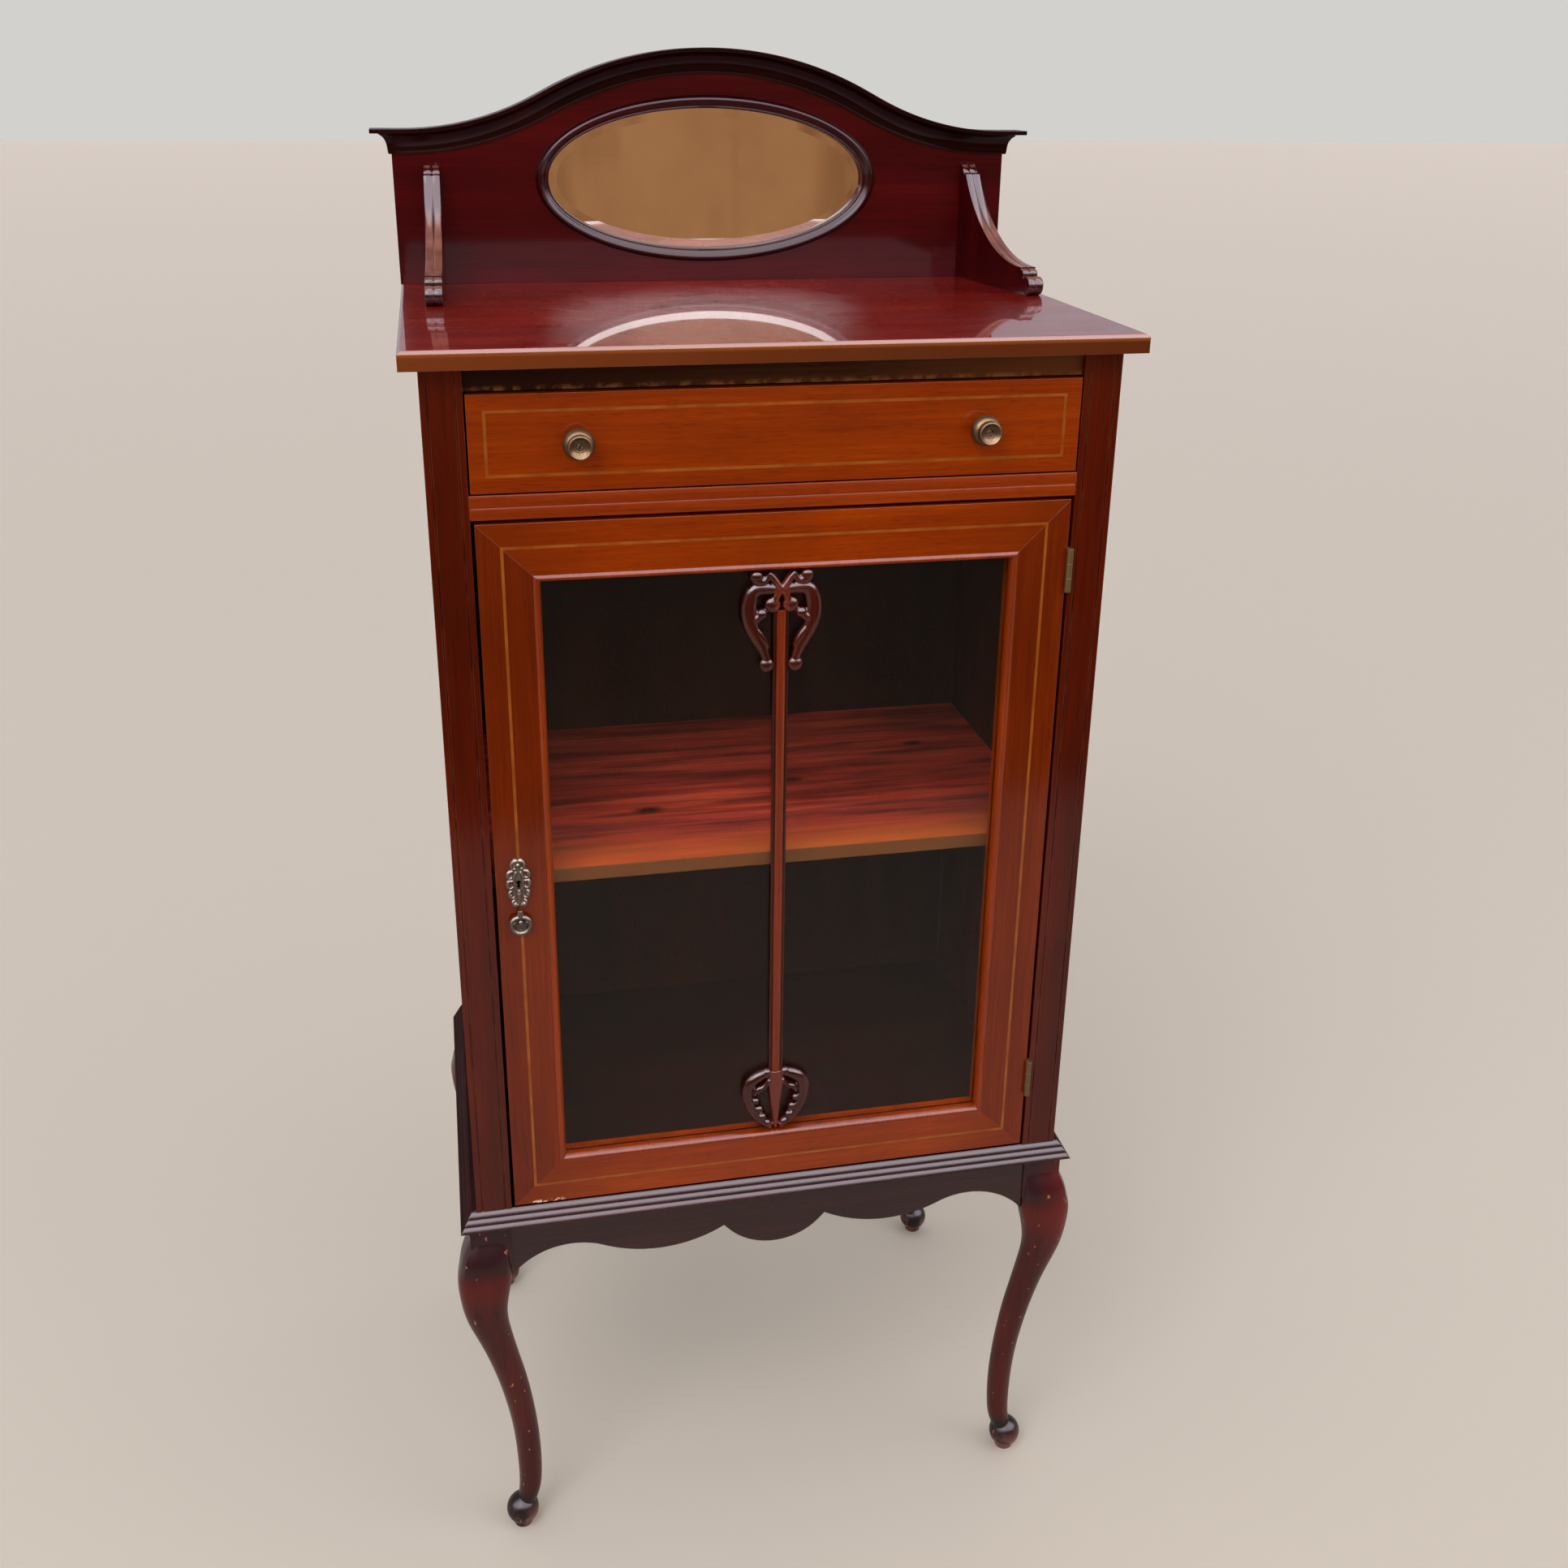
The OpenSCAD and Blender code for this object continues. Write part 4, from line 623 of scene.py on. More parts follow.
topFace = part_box("top_board")[1].z


def arcPoints(centre, radius, start, end, count):
    angles = [math.radians(start + (end - start) * k / count) for k in range(count + 1)]
    return [(centre[0] + radius * math.cos(a), centre[1] + radius * math.sin(a)) for a in angles]


def bracketOutline():  # depth runs forwards, height up; also says where the curve starts
    b = bracket
    toe = b["reach"] - b["scroll"]
    nose = (b["reach"] - b["noseIn"], b["noseHeight"])
    foot, capDepth = b["height"] - b["cap"], b["capDepth"]
    width, rise = nose[0] - b["head"], foot - nose[1]
    curve = (width * width + rise * rise) / (2 * rise)
    sweep = math.degrees(math.asin(width / curve))
    outline = [(0.0, 0.0), (toe, 0.0)]
    outline += arcPoints((toe, b["scroll"]), b["scroll"], -80, 125, 14)
    outline += arcPoints((nose[0] + 1, nose[1] - b["bead"] * 1.55), b["bead"], -35, 100, 10)
    outline += [(nose[0] - 0.8, nose[1] - 1.6)]
    noseIndex = len(outline)
    outline += arcPoints((nose[0], nose[1] + curve), curve, 270, 270 - sweep, b["steps"])
    outline += [(capDepth - 1.4, foot + 0.2), (capDepth - 0.4, foot + 0.4), (capDepth, foot + 0.9)]
    for t in (k / 8 for k in range(1, 8)):
        outline.append((capDepth * (1 - t) - 0.6 * t + 1.1 * math.sin(math.pi * t),
                        foot + 0.9 + (b["cap"] - 0.9) * t))
    return outline + [(0.4, b["height"]), (0.0, b["height"])], noseIndex, toe


def bracketMesh(name, side, splay):  # sweeps the reeded edge round the outline
    reeds = bracket["reeds"]
    outline, noseIndex, toe = bracketOutline()
    turn = math.radians(splay)

    def placed(across, depth, height):
        x = side * bracket["inset"] + across * math.cos(turn) + depth * math.sin(turn)
        y = panelFace * 1000 + across * math.sin(turn) - depth * math.cos(turn)
        return (x / 1000, min(y / 1000, panelFace), topFace + height / 1000)

    rings = []
    for i, (depth, height) in enumerate(outline):
        ahead, behind = outline[min(i + 1, len(outline) - 1)], outline[max(i - 1, 0)]
        run, climb = ahead[0] - behind[0], ahead[1] - behind[1]
        length = math.hypot(run, climb)
        ring = []
        for across, inset in reeds:
            inset = 0.0 if height == 0.0 or i == len(outline) - 1 else inset
            ring.append(placed(across, depth - inset * climb / length, height + inset * run / length))
        rings.append(ring)
    bm = bmesh.new()
    rows = skinRings(bm, rings, closedRing=False)
    backs = {}
    for k in (0, -1):  # each side: a fan over the scroll and bead, then strips back to the panel
        middle = bm.verts.new(placed(reeds[k][0], toe - 12, 12))
        backs[k] = [bm.verts.new(placed(reeds[k][0], 0, height)) for depth, height in outline[noseIndex:]]
        loop = [row[k] for row in rows[:noseIndex + 1]] + backs[k][:1]
        for first, second in zip(loop, loop[1:] + loop[:1]):
            bm.faces.new((middle, first, second))
        for i in range(noseIndex, len(rows) - 1):
            at = i - noseIndex
            bm.faces.new((rows[i][k], rows[i + 1][k], backs[k][at + 1], backs[k][at]))
    bm.faces.new(rows[0] + [backs[-1][0], backs[0][0]])
    for at in range(len(backs[0]) - 2):
        bm.faces.new((backs[0][at], backs[-1][at], backs[-1][at + 1], backs[0][at + 1]))
    bm.faces.new([backs[0][-2], backs[-1][-2]] + rows[-1][::-1])
    return meshFrom(bm, name)


for node, splay in bracket["splay"].items():
    pieceFrom(node, "reeded", bracketMesh(node + "_reeded", -1 if splay < 0 else 1, splay),
              wood("bracket mahogany", "z"), "cabinet", 38)

# Base moulding round three sides: three canted reeds, one above the other, mitred at the front corners
skirt = {"reeds": 3, "rise": 5.2, "run": 3.4, "swell": 0.3, "start": 0.6, "gap": 0.3, "steps": 6,
         "square": 12.0, "height": 16.0, "sideDepth": 40.0}  # millimetres


def skirtSection(depth, other):  # inset from the outer edge, the same along the mitre, and height
    span = skirt["rise"] - 2 * skirt["gap"]
    chord = math.hypot(skirt["run"], span)
    section = [(depth, other, 0.0), (skirt["start"], skirt["start"], 0.0)]
    for i in range(skirt["reeds"]):
        for k in range(skirt["steps"] + 1):
            t = k / skirt["steps"]
            swell = skirt["swell"] * math.sin(math.pi * t)
            s = skirt["start"] + skirt["run"] * (i + t) - swell * span / chord
            up = skirt["rise"] * i + skirt["gap"] + span * t + swell * skirt["run"] / chord
            section.append((s, s, up))
    top = skirt["start"] + skirt["run"] * skirt["reeds"] + skirt["gap"]
    section += [(inset, mitre, skirt["height"]) for inset, mitre in
                ((top, top), (skirt["square"], skirt["square"]), (depth, other))]
    return [tuple(value / 1000 for value in row) for row in section]


low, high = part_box("base_moulding_front")
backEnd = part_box("base_moulding_sides")[1].y
frontDepth = (high.y - low.y) * 1000
section = skirtSection(frontDepth, skirt["sideDepth"])
frontRun = mouldingRuns([[(side * (high.x - mitre), low.y + s, low.z + z) for s, mitre, z in section]
                         for side in (-1, 1)])
pieceFrom("base_moulding_front", "reeded", frontRun, wood("stand mahogany", "x"), "cabinet",
          30)
section = skirtSection(skirt["sideDepth"], frontDepth)
sideRuns = mouldingRuns(*[[[(side * (high.x - s), low.y + mitre, low.z + z) for s, mitre, z in section],
                           [(side * (high.x - s), backEnd, low.z + z) for s, mitre, z in section]]
                          for side in (-1, 1)])
pieceFrom("base_moulding_sides", "reeded", sideRuns, wood("dull stand mahogany", "y"), "cabinet",
          30)

# Carved ornaments on the glass. Each point has its share of the half width and of the height, then its width
# and set-back in millimetres. A boss has its radius and how far it stands back.
print("carving")
carvings = {
    "carving_top": {  # a lyre of scrolls
        "voxel": 0.00055, "full": 1.28,
        "strands": [
            [(0.05, -0.20, 6.5, 1.2), (0.36, -0.185, 8, 0.3), (0.70, -0.20, 9.5, 0), (0.84, -0.32, 10.5, 0),
             (0.84, -0.47, 10.5, 0), (0.70, -0.63, 9, 0.3), (0.50, -0.77, 7.5, 0.8), (0.37, -0.90, 6, 1.2)],
            [(0.36, -0.03, 5.4, 1), (0.24, -0.075, 5.6, 0.6), (0.06, -0.165, 5.2, 0),
             (-0.10, -0.235, 5.2, 0.4), (-0.22, -0.33, 6.5, 1)],
            [(0.34, -0.055, 5, 1.4), (0.46, -0.11, 6, 0.8), (0.62, -0.10, 8, 0.2), (0.74, -0.065, 6, 0.6)],
            [(0.90, -0.42, 6, 1), (0.76, -0.485, 7, 0.2), (0.60, -0.46, 6.6, 0.3), (0.54, -0.40, 5, 0.8)],
            [(0.74, -0.54, 4, 1.2), (0.58, -0.625, 5.6, 0.4), (0.44, -0.705, 5, 0.8), (0.34, -0.77, 3, 2)]],
        "bosses": [(0.38, -0.945, 5.2, 0.0), (0.24, -0.345, 5.6, 0.0), (0.66, -0.06, 4.6, -0.1),
                   (0.52, -0.43, 4.0, 0.0)]},
    "carving_bottom": {  # a heart with beads inside
        "voxel": 0.00055, "full": 1.05,
        "strands": [
            [(0.24, -0.07, 8, 0.8), (0.48, -0.10, 10, 0), (0.76, -0.20, 11, 0), (0.86, -0.38, 10.5, 0),
             (0.76, -0.60, 9, 0), (0.50, -0.80, 8, 0.4), (0.14, -0.94, 6.5, 0.6)],
            [(0.20, -0.17, 5, 1), (0.36, -0.28, 6, 0.6), (0.54, -0.32, 6.5, 0.6), (0.64, -0.40, 4.4, 1.2)],
            [(0.0, -0.04, 12, 1.4), (0.0, -0.18, 15, 0.8), (0.0, -0.42, 12, 0.2), (0.0, -0.68, 8, 0.2),
             (0.0, -0.94, 4, 0.6)]],
        "bosses": [(0.27, -0.055, 4.4, -0.1), (0.60, -0.50, 3.8, 0.2), (0.50, -0.64, 4.2, -0.1),
                   (0.40, -0.77, 4.2, -0.1), (0.25, -0.88, 4.0, 0.1)]}}
for node, look in carvings.items():
    low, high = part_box(node)
    mesh = carvedMesh(node + "_carved", look, (0, high.z), (high.x, high.z - low.z), low.y, high.y)
    pieceFrom(node, "carved", mesh, wood("carved mahogany", "z"), "door", 60)

# Centre bar: a broad rounded middle with a thin reed at each side
bar = {"steps": 8, "rounds": ((-0.0065, -0.0040, 0.0030, 0.0012), (-0.0040, 0.0040, 0.0036, 0.0026),
                              (0.0040, 0.0065, 0.0030, 0.0012))}  # from and to across, thickness and swell
low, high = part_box("centre_bar")
barSection = [(low.x, high.y)]
for start, end, thickness, swell in bar["rounds"]:
    for k in range(bar["steps"] + 1):
        a = math.pi * k / bar["steps"]
        barSection.append(((start + end) / 2 - (end - start) / 2 * math.cos(a),
                           high.y - thickness - swell * math.sin(a)))
barSection.append((high.x, high.y))
barRun = mouldingRuns([[(x, y, z) for x, y in barSection] for z in (low.z, (low.z + high.z) / 2, high.z)])
pieceFrom("centre_bar", "reeded", barRun, wood("bar mahogany", "z"), "door", 50)

# Inlaid lines, flush with the polish: a frame on the drawer and one on the door, open behind the lock plate
inlay = {"width": 0.0016, "spread": 0.0004, "proud": 0.00004, "depth": 0.0004, "plateGap": (0.706, 0.744)}
for node, body, gap in (("drawer_stringing", "drawer", None), ("door_stringing", "door", inlay["plateGap"])):
    low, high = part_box(node)
    spread, inner = inlay["spread"], inlay["width"] + inlay["spread"]
    left, foot, right, head = low.x - spread, low.z - spread, high.x + spread, high.z + spread
    leftIn, footIn, rightIn, headIn = low.x + inner, low.z + inner, high.x - inner, high.z - inner
    bars = [(left, right, foot, footIn), (left, right, headIn, head), (rightIn, right, footIn, headIn)]
    for start, end in ((footIn, gap[0]), (gap[1], headIn)) if gap else ((footIn, headIn),):
        bars.append((left, leftIn, start, end))
    bm = bmesh.new()
    for x0, x1, z0, z1 in bars:
        skinRings(bm, [[(x, y, z) for x, z in ((x0, z0), (x1, z0), (x1, z1), (x0, z1))]
                       for y in (low.y - inlay["proud"], low.y + inlay["depth"])], capped=True)
    mesh = meshFrom(bm, node + "_flush", merged=False)
    pieceFrom(node, "flush", mesh, inlaidLine, body, 30)

# Glazing beads: they stand a little proud of the door and slope down to the glass, mitred
bead = {"width": 0.006,  # the profile's inset and y are in millimetres
        "profile": ((0.0, 0.0), (0.2, -0.2), (0.9, -0.75), (1.8, -1.3), (2.6, -1.68), (3.1, -1.72),
                    (3.5, -1.5), (4.1, -0.8), (4.8, 0.3), (5.4, 1.5), (5.8, 2.6), (6.0, 3.4))}
low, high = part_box("glazing_beads")
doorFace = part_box("door_rail_top")[0].y
section = [(0.0, high.y)] + [(s / 1000, doorFace + y / 1000) for s, y in bead["profile"]]
section += [(bead["width"], high.y), section[0]]
bm = bmesh.new()
skinRings(bm, [[(low.x + s, y, low.z + s), (high.x - s, y, low.z + s), (high.x - s, y, high.z - s),
                (low.x + s, y, high.z - s)] for s, y in section])
pieceFrom("glazing_beads", "ovolo", bm, wood("warm mahogany", "z"), "door", 35)

# Oval moulding round the mirror: a small bead, a hollow and a broad outer bead
oval = {"halfWidth": 0.152, "halfHeight": 0.064, "turns": 160,  # the section is outward and y, in millimetres
        "section": ((0.0, 6.0), (0.0, -0.6), (0.5, -1.2), (1.3, -1.4), (2.0, -1.2), (2.3, -1.3), (3.4, -2.3),
                    (4.6, -3.4), (6.0, -4.5), (7.6, -5.0), (9.2, -4.5), (10.2, -3.3), (10.7, -2.2),
                    (11.4, -1.6), (12.0, -0.6), (12.0, 0.0), (5.0, 0.0), (5.0, 6.0))}
low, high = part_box("mirror_glass")
ovalHeight = (low.z + high.z) / 2
angles = fullTurn(oval["turns"])
bm = bmesh.new()
skinRings(bm, [[((oval["halfWidth"] + s / 1000) * math.cos(a), panelFace + y / 1000,
                 ovalHeight + (oval["halfHeight"] + s / 1000) * math.sin(a)) for s, y in oval["section"]]
               for a in angles + angles[:1]])
pieceFrom("mirror_moulding", "run", bm, wood("oval mahogany", "x"), "cabinet", 30)

# Mirror plate with a bevel ground round its edge
halfWidth, halfHeight = high.x, (high.z - low.z) / 2
bevelRows = ((0.0195, 0.0), (0.0, 0.00055), (0.0, high.y - low.y))  # distance in from the edge and depth
bm = bmesh.new()
skinRings(bm, [[((halfWidth - inset) * math.cos(a), low.y + depth,
                 ovalHeight + (halfHeight - inset) * math.sin(a)) for a in angles]
               for inset, depth in bevelRows], capped=True)
pieceFrom("mirror_glass", "bevelled", bm, mirrorPlate, "cabinet", 1)

# Cast brass fittings
print("fittings")
knob = {"radius": 0.0125, "turns": 48, "screw": 0.0026, "slot": 0.0006, "screwOut": (0.0184, 0.0202),
        "screwTurn": {-1: 62, 1: 20},  # degrees, left and right
        "profile": ((0.0, 0.0), (8.2, 0.0), (8.6, 0.6), (8.4, 1.6), (7.0, 2.4), (6.2, 3.4), (6.6, 5.0),
                    (9.0, 6.2), (11.2, 7.2), (12.2, 8.6), (12.5, 10.2), (12.4, 11.8), (11.9, 13.6),
                    (11.0, 15.4), (9.9, 16.8), (9.0, 17.6), (8.8, 18.4), (9.0, 19.8), (9.5, 21.2),
                    (9.6, 22.8), (9.1, 23.8), (8.3, 24.0), (7.5, 23.0), (6.0, 21.6), (4.4, 20.9),
                    (3.2, 20.8), (2.9, 20.4), (2.7, 18.6), (0.0, 18.6))}  # radius and way out, in mm
low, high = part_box("drawer_knobs")
knobHeight = (low.z + high.z) / 2
angles = fullTurn(knob["turns"])
bm = bmesh.new()
for side, degrees in knob["screwTurn"].items():
    knobX = side * (high.x - knob["radius"])
    profile = [(r / 1000, high.y - out / 1000) for r, out in knob["profile"]]
    skinRings(bm, [[(knobX + r * math.cos(a), y, knobHeight + r * math.sin(a)) for r, y in profile]
                   for a in angles + angles[:1]], closedRing=False)
    turn = math.radians(degrees)
    start = math.asin(knob["slot"] / knob["screw"])
    for half in (-1, 1):  # slotted head of the screw that holds the knob
        outline = [(knob["screw"] * math.cos(a), half * knob["screw"] * math.sin(a))
                   for a in (start + (math.pi - 2 * start) * k / 10 for k in range(11))]
        skinRings(bm, [[(knobX + x * math.cos(turn) - z * math.sin(turn), high.y - out,
                         knobHeight + x * math.sin(turn) + z * math.cos(turn)) for x, z in outline]
                       for out in knob["screwOut"]], capped=True)
bmesh.ops.remove_doubles(bm, verts=bm.verts, dist=0.000001)
bmesh.ops.dissolve_degenerate(bm, edges=bm.edges, dist=0.000001)
pieceFrom("drawer_knobs", "turned", bm, turnedBrass, "drawer")

escutcheon = {  # millimetres from the keyhole: x, z, width, set-back
    "voxel": 0.00028, "front": 0.0044,
    "strands": [
        [(0, 20, 8, 1.9), (0, 14, 12, 1.7), (0, 5, 16, 1.7), (0, -6, 16, 1.7), (0, -15, 13, 1.7),
         (0, -21, 9, 1.9)],
        [(1.0, 21.2, 3.2, 0.6), (3.6, 20.2, 3.6, 0), (5.4, 17.0, 3.4, 0.2), (4.6, 13.6, 2.8, 0.8),
         (2.4, 13.2, 2.2, 1.2)],
        [(4.2, 11.4, 2.8, 0.8), (7.6, 10.6, 3.6, 0), (9.0, 7.2, 3.6, 0), (7.6, 4.4, 3.0, 0.4),
         (5.2, 5.6, 2.4, 0.8)],
        [(4.8, 1.8, 2.6, 0.8), (8.2, 2.0, 3.6, 0), (9.2, -1.6, 3.6, 0), (7.4, -4.8, 3.0, 0.3),
         (4.8, -3.6, 2.4, 0.9)],
        [(6.4, -6.8, 3.0, 0.5), (8.0, -9.6, 3.6, 0), (6.8, -13.4, 3.6, 0), (4.0, -14.0, 2.6, 0.6)],
        [(3.8, -15.6, 2.8, 0.6), (5.6, -18.0, 3.4, 0), (3.6, -21.2, 3.8, 0), (1.2, -20.4, 2.6, 0.8)],
        [(1.6, 10.4, 2.6, 0.9), (3.2, 7.4, 2.6, 0.7), (3.9, 3.2, 2.4, 0.6), (3.7, -1.6, 2.4, 0.6),
         (2.4, -6.4, 2.6, 0.6)],
        [(0, -6.6, 3.2, 0.4), (0, -10.5, 4.2, -0.3), (0, -15.5, 3.4, 0.2)]],
    "bosses": [(2.2, 20.4, 2.6, -0.2), (4.2, -20.4, 2.6, -0.3), (8.4, 8.6, 2.0, -0.2), (8.8, 0.2, 2.0, -0.2),
               (7.4, -11.2, 2.0, -0.2), (0.0, -10.4, 2.2, -0.5), (0.0, 16.4, 2.4, 0.4)]}
pull = {  # the same, from the pin that it hangs on
    "voxel": 0.00026, "pinZ": 0.701, "front": 0.0002,
    "strands": [
        [(0, 1.6, 4.6, 0.5), (0, -2.4, 6, 0.2), (0, -5.8, 7, 0.5)],
        [(1.2, -4.6, 3.4, 0.3), (4.6, -5.6, 3.8, 0), (7.6, -8.8, 4.0, 0), (7.8, -13.2, 3.8, 0),
         (6.2, -17.2, 4.0, 0), (3.2, -19.6, 4.2, 0), (0, -20.2, 4.4, 0)],
        [(0, -7, 12, 3.8), (0, -13, 13, 4.0), (0, -18, 9, 3.8)],
        [(7.6, -11.0, 3.0, 0.4), (5.6, -10.2, 2.8, 0.6), (4.6, -8.6, 2.2, 0.9)]],
    "bosses": [(7.4, -9.2, 2.3, -0.1), (7.4, -14.8, 2.0, 0.0), (0.0, -20.4, 2.4, -0.1),
               (0.0, -3.2, 2.6, 0.0), (0.0, -10.6, 2.6, 1.4)]}
millimetres = (0.001, 0.001)

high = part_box("escutcheon")[1]
plateMesh = carvedMesh("escutcheon_cast", escutcheon, (keyhole["x"], keyhole["z"]), millimetres,
                       high.y - escutcheon["front"], high.y)
# keyhole cut through the plate
start = math.asin(keyhole["slotHalf"] / keyhole["radius"])
angles = [start + (2 * math.pi - 2 * start) * k / 20 for k in range(21)]
outline = [(-keyhole["slotHalf"], -keyhole["slotFoot"])]
outline += [(-keyhole["radius"] * math.sin(a), -keyhole["radius"] * math.cos(a)) for a in angles]
outline.append((keyhole["slotHalf"], -keyhole["slotFoot"]))
bm = bmesh.new()
skinRings(bm, [[(keyhole["x"] + x, y, keyhole["z"] + z) for x, z in outline]
               for y in (high.y + cut for cut in keyhole["cut"])], capped=True)
cutter = linked("keyhole_cutter", meshFrom(bm, "keyhole_cutter"))
cutting = {"operation": "DIFFERENCE", "object": cutter, "solver": "EXACT"}
plateMesh = withModifiers("escutcheon_cast", plateMesh, ("BOOLEAN", cutting))
bpy.data.objects.remove(cutter)
pieceFrom("escutcheon", "cast", plateMesh, castBrass, "door", 50)

low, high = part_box("drop_pull")
pullMesh = carvedMesh("drop_pull_cast", pull, ((low.x + high.x) / 2, pull["pinZ"]), millimetres,
                      low.y + pull["front"], high.y)
pieceFrom("drop_pull", "cast", pullMesh, dropBrass, "drop_pull", 50)


# Slotted wood screws, one Geometry Nodes tree for every set
def slottedScrews(material):
    tree = bpy.data.node_groups.new("Slotted screws", "GeometryNodeTree")
    sockets = tree.interface
    sockets.new_socket("Points", in_out="INPUT", socket_type="NodeSocketGeometry")
    sizes = {"Head radius": 0.0023, "Shank radius": 0.0013, "Length": 0.011, "Head height": 0.0012}
    for name, value in sizes.items():
        sockets.new_socket(name, in_out="INPUT", socket_type="NodeSocketFloat").default_value = value
    sockets.new_socket("Turn", in_out="INPUT", socket_type="NodeSocketVector")
    sockets.new_socket("Seed", in_out="INPUT", socket_type="NodeSocketInt").default_value = 7
    sockets.new_socket("Screws", in_out="OUTPUT", socket_type="NodeSocketGeometry")
    given = addNode(tree, "NodeGroupInput").outputs
    headRadius, shankRadius, headHeight = given["Head radius"], given["Shank radius"], given["Head height"]
    head = addNode(tree, "GeometryNodeMeshCone", {
        "Vertices": 20, "Radius Top": shankRadius, "Radius Bottom": headRadius, "Depth": headHeight})
    slotSize = addNode(tree, "CombineXYZ", {"X": together(tree, headRadius, 2.4),
                                            "Y": together(tree, headRadius, 0.34),
                                            "Z": together(tree, headHeight, 0.9)})
    slot = addNode(tree, "GeometryNodeMeshCube", {"Size": slotSize})
    cut = addNode(tree, "GeometryNodeMeshBoolean", {"Mesh 1": head, "Mesh 2": slot}, operation="DIFFERENCE")
    shank = addNode(tree, "GeometryNodeMeshCone", {
        "Vertices": 14, "Radius Bottom": shankRadius, "Radius Top": together(tree, shankRadius, 0.45),
        "Depth": given["Length"]})
    joined = addNode(tree, "GeometryNodeJoinGeometry", {0: cut})
    tree.links.new(shank.outputs["Mesh"], joined.inputs[0])
    spin = addNode(tree, "FunctionNodeRandomValue", {"Seed": given["Seed"], 3: math.pi}, data_type="FLOAT")
    twist = addNode(tree, "CombineXYZ", {"Z": spin.outputs[1]})
    local = addNode(tree, "FunctionNodeEulerToRotation", {0: twist})
    lead = addNode(tree, "FunctionNodeEulerToRotation", {0: given["Turn"]})
    whole = addNode(tree, "FunctionNodeRotateRotation", {0: lead, 1: local}, rotation_space="LOCAL")
    placed = addNode(tree, "GeometryNodeInstanceOnPoints", {"Points": given["Points"], "Instance": joined,
                                                            "Rotation": whole})
    real = addNode(tree, "GeometryNodeRealizeInstances", {"Geometry": placed})
    coloured = addNode(tree, "GeometryNodeSetMaterial", {"Geometry": real, "Material": material})
    addNode(tree, "NodeGroupOutput", {"Screws": coloured})
    return tree


def grownMesh(name, tree, points, values):  # runs a Geometry Nodes tree on some points and keeps its mesh
    seed = bpy.data.meshes.new(name + "_points")
    seed.from_pydata(points, [], [])
    holder = linked(name + "_work", seed)
    modifier = holder.modifiers.new("grow", "NODES")
    modifier.node_group = tree
    for item in tree.interface.items_tree:
        if item.in_out == "INPUT" and item.name in values:
            modifier[item.identifier] = values[item.name]
    return keptMesh(holder, name)


def solidBoxes(node):  # low and high corners of each separate solid in a CAD node, in one fixed order
    bm = bmesh.new()
    bm.from_mesh(nodes[node].data)
    bmesh.ops.remove_doubles(bm, verts=bm.verts, dist=0.00001)
    left = set(bm.verts)
    boxes = []
    while left:
        group = [left.pop()]
        low, high = group[0].co.copy(), group[0].co.copy()
        while group:
            vert = group.pop()
            low = Vector(map(min, low, vert.co))
            high = Vector(map(max, high, vert.co))
            for edge in vert.link_edges:
                other = edge.other_vert(vert)
                if other in left:
                    left.remove(other)
                    group.append(other)
        boxes.append((low, high))
    bm.free()
    return sorted(boxes, key=lambda box: [round(value, 4) for value in box[0]])


print("screws")
screwTree = slottedScrews(screwBrass)
quarter = math.pi / 2
screwSets = {  # axis of the screw, end that its head is at (0 low, 1 high), turn, head radius in millimetres
    "hinge_screws_carcass": {
        "body": "cabinet", "axis": 0, "headEnd": 0, "turn": (0, quarter, 0), "head": 2.3},
    "hinge_screws_door": {"body": "door", "axis": 0, "headEnd": 1, "turn": (0, -quarter, 0), "head": 2.3},
    "gallery_screws": {"body": "cabinet", "axis": 2, "headEnd": 0, "turn": (0, 0, 0), "head": 3.6},
    "knob_screws": {"body": "drawer", "axis": 1, "headEnd": 1, "turn": (quarter, 0, 0), "head": 3.6}}
for node, look in screwSets.items():
    points, axis = [], look["axis"]
    for corners in solidBoxes(node):
        middle = (corners[0] + corners[1]) / 2
        middle[axis] = corners[look["headEnd"]][axis]
        points.append(tuple(middle))
        length = corners[1][axis] - corners[0][axis]
    screws = grownMesh(node + "_slotted", screwTree, points, {
        "Head radius": look["head"] / 1000, "Shank radius": look["head"] / 1.9 / 1000, "Length": length,
        "Head height": 0.0012, "Turn": look["turn"]})
    pieceFrom(node, "slotted", screws, screwBrass, look["body"], 35)

# Studio
studio = {"floor": "#c9beb2", "wall": "#d3d1cd", "polish": "#dcd8e2", "sky": 0.80, "window": 12.0,
          "room": 0.6, "lamp": 54.0, "fill": 12.0}
print("studio")


def flatPiece(name, corners, material):
    mesh = bpy.data.meshes.new(name)
    mesh.from_pydata(corners, [], [(0, 1, 2, 3)])
    mesh.materials.append(material)
    piece = linked(name, mesh)
    return piece


floorMaterial, tree = newMaterial("Pale studio floor")
shader = addNode(tree, "BsdfPrincipled", {"Base Color": studio["floor"], "Roughness": 0.85})
addNode(tree, "OutputMaterial", {"Surface": shader})
flatPiece("studio_floor", [(-30, -30, 0), (30, -30, 0), (30, 30, 0), (-30, 30, 0)], floorMaterial)


def polishCard(name, card, material):  # an upright card that is seen only in the mirror and the polish
    left, right, foot, head, y = (card[key] for key in ("left", "right", "foot", "head", "y"))
    piece = flatPiece(name, [(left, y, foot), (right, y, foot), (right, y, head), (left, y, head)], material)
    piece.visible_camera = False
    piece.visible_diffuse = False
    piece.visible_shadow = False
    piece.visible_transmission = False


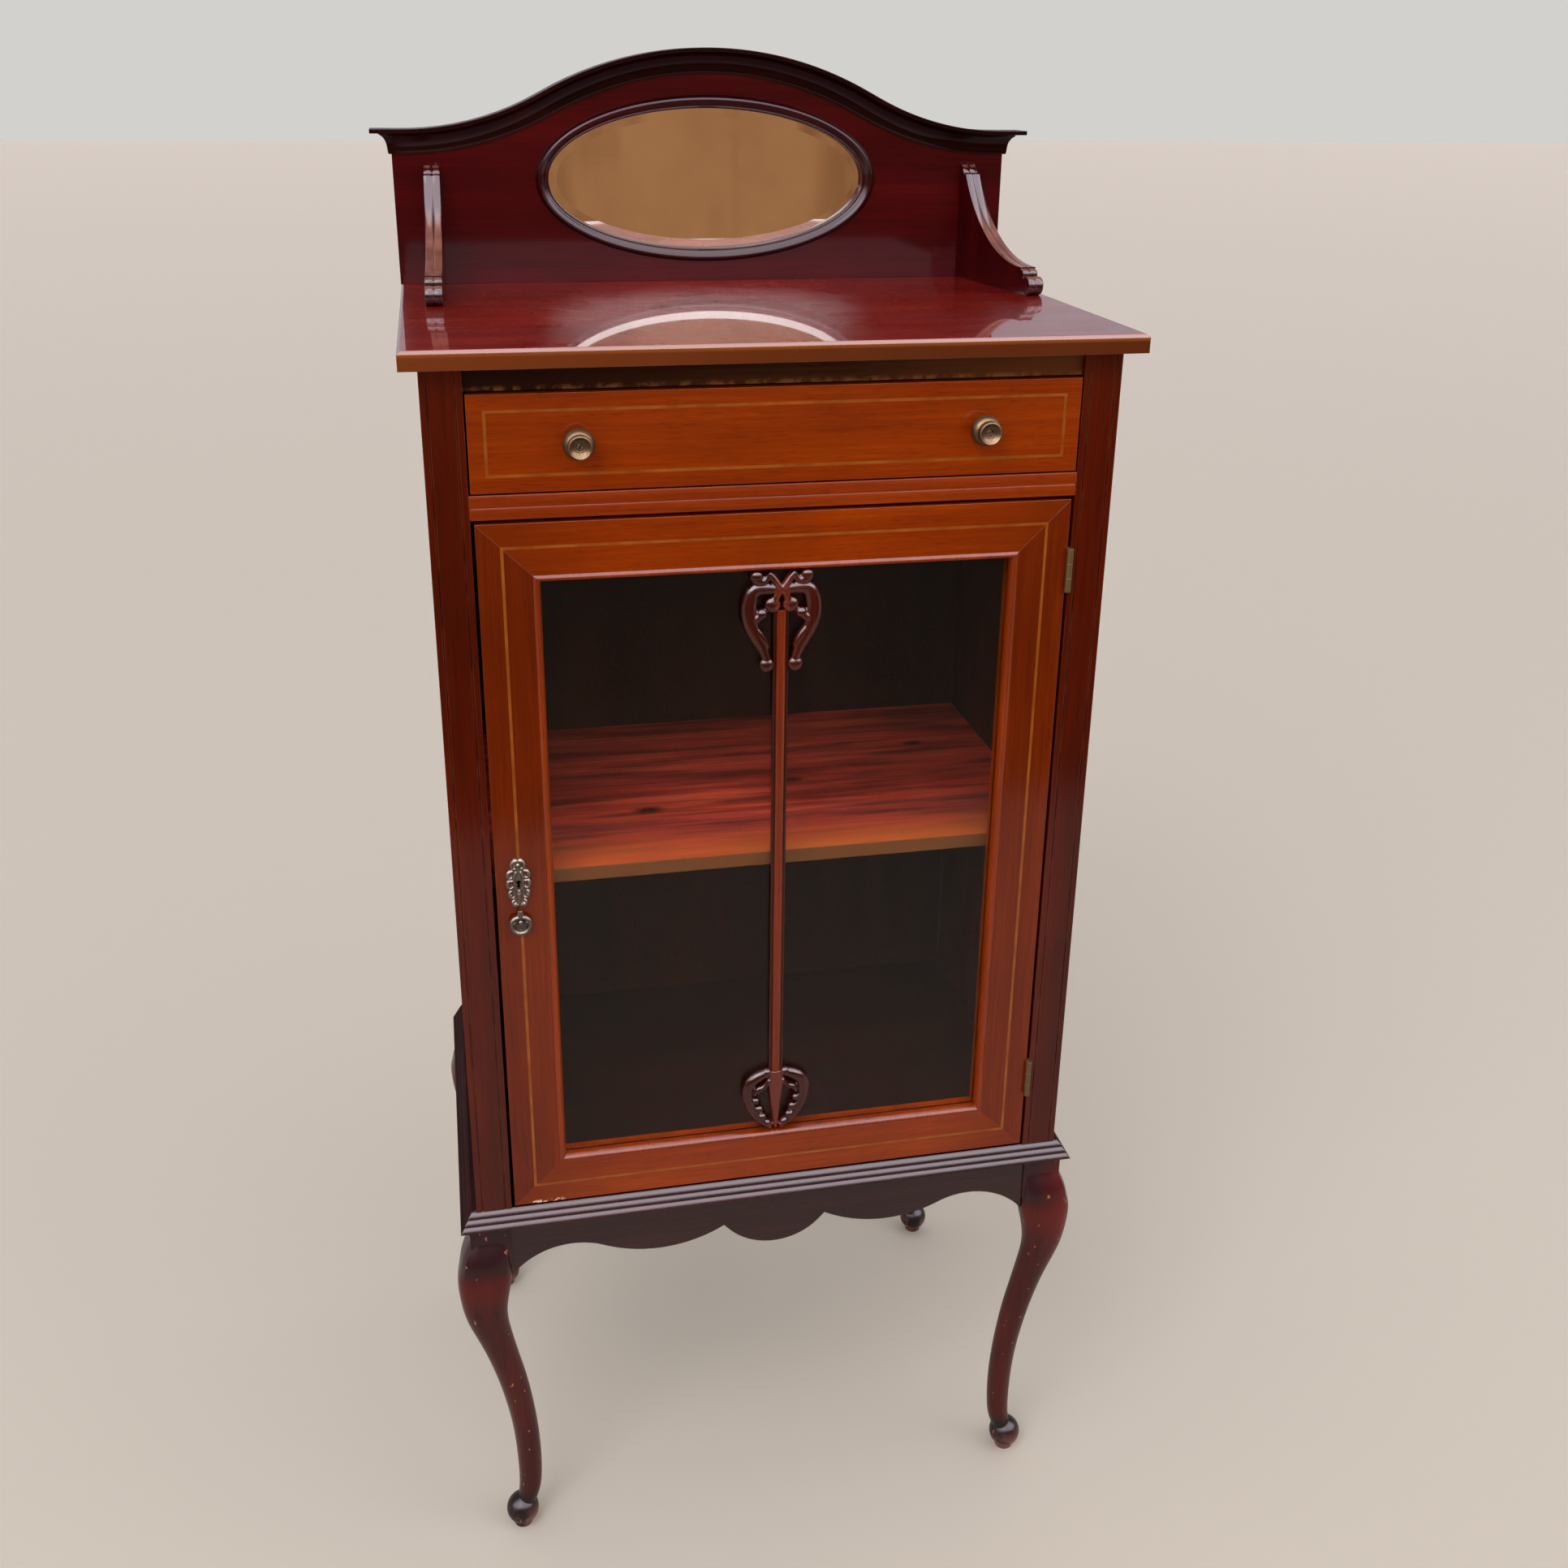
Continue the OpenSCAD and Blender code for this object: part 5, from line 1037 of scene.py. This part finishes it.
# Tan boards in front of the cabinet; daylight comes between the upper two
farBoards = {"y": -4.2, "left": -6.0, "right": 7.0, "plank": 3.2, "dark": "#7c5232", "pale": "#a4754e"}
boards = {"upper": farBoards | {"foot": 1.77, "head": 2.5},
          "middle": farBoards | {"foot": 0.0, "head": 1.55},
          "near": {"y": -1.75, "foot": 0.0, "head": 0.75, "left": -2.5, "right": 3.5, "plank": 7.0,
                   "dark": "#5c3a22", "pale": "#7c5232"}}
daylight = {"y": -4.25, "foot": 1.5, "head": 1.8, "left": -1.6, "right": 2.2, "colour": "#e8e6ea",
            "strength": 1.9}
for boardName, card in boards.items():
    boardMaterial, tree = newMaterial(f"Tan boards, {boardName}")
    place = addNode(tree, "TexCoord").outputs["Object"]
    stripes = addNode(tree, "VectorMath", {0: place, 1: (card["plank"], 0.0, 0.4)}, operation="MULTIPLY")
    tone = addNode(tree, "TexNoise", {"Vector": stripes, "Scale": 1.0, "Detail": 3.0})
    colour = addNode(tree, "ValToRGB", {"Fac": tone}, ((0.3, card["dark"]), (0.55, card["pale"])))
    glow = addNode(tree, "Emission", {"Color": colour, "Strength": 1.0})
    addNode(tree, "OutputMaterial", {"Surface": glow})
    polishCard(boardName + "_boards", card, boardMaterial)
dayMaterial, tree = newMaterial("Daylight between the boards")
glow = addNode(tree, "Emission", {"Color": daylight["colour"], "Strength": daylight["strength"]})
addNode(tree, "OutputMaterial", {"Surface": glow})
polishCard("daylight_gap", daylight, dayMaterial)

# Surroundings: one even wall for the camera, softer light on the cabinet, a tall bright window in its polish
world = bpy.data.worlds.new("Soft studio")
world.use_nodes = True
scene.world = world
tree = world.node_tree
tree.nodes.clear()
rays = addNode(tree, "LightPath").outputs
seen = rays["Is Camera Ray"]
for ray in ("Is Glossy Ray", "Is Transmission Ray"):
    seen = addNode(tree, "Math", {0: seen, 1: rays[ray]}, operation="ADD", use_clamp=True)
light = addNode(tree, "Background", {"Color": (1, 1, 1, 1), "Strength": studio["sky"]})
shown = addNode(tree, "Background", {"Color": studio["wall"], "Strength": 1.0})
aim = addNode(tree, "SeparateXYZ", {0: addNode(tree, "TexCoord").outputs["Generated"]}).outputs
front = together(tree, within(tree, aim["Z"], 0.18, 0.42), within(tree, aim["Y"], 0.14, -0.04))
brighter = within(tree, front, 0.0, 1.0, least=studio["room"], most=studio["window"])
polish = addNode(tree, "Background", {"Color": studio["polish"], "Strength": brighter})
behind = addNode(tree, "MixShader", {0: rays["Is Glossy Ray"], 1: shown, 2: polish})
mixed = addNode(tree, "MixShader", {0: seen, 1: light, 2: behind})
addNode(tree, "OutputWorld", {"Surface": mixed})


def softLamp(name, place, size, power):
    data = bpy.data.lights.new(name, "AREA")
    data.shape = "DISK"
    data.size = size
    data.energy = power
    lamp = linked(name, data)
    lamp.location = place
    aimPoint = Vector((0, 0, 0.7))
    lamp.rotation_euler = (aimPoint - Vector(place)).to_track_quat("-Z", "Y").to_euler()


softLamp("key_lamp", (-1.6, -2.2, 3.4), 2.2, studio["lamp"])
softLamp("fill_lamp", (2.4, -1.6, 2.2), 2.0, studio["fill"])

# Camera, matched to the photograph
view = {"place": (-0.2634, -1.40003, 1.37566), "yaw": 11.88, "pitch": -21.49, "roll": 0.64,
        "lens": 36.75, "shiftX": 0.0063, "shiftY": -0.0575}
yaw, pitch, roll = (math.radians(view[name]) for name in ("yaw", "pitch", "roll"))
forward = Vector((math.sin(yaw) * math.cos(pitch), math.cos(yaw) * math.cos(pitch), math.sin(pitch)))
right = Vector((math.cos(yaw), -math.sin(yaw), 0))
up = right.cross(forward)
rightRolled = math.cos(roll) * right + math.sin(roll) * up
upRolled = -math.sin(roll) * right + math.cos(roll) * up
cameraData = bpy.data.cameras.new("photo_camera")
cameraData.lens = view["lens"]
cameraData.sensor_width = 36
cameraData.sensor_fit = "HORIZONTAL"
cameraData.shift_x = view["shiftX"]
cameraData.shift_y = view["shiftY"]
camera = linked("photo_camera", cameraData)
turn = Matrix((rightRolled, upRolled, -forward)).transposed().to_4x4()
camera.matrix_world = Matrix.Translation(view["place"]) @ turn
scene.camera = camera
scene.view_settings.view_transform = "Standard"
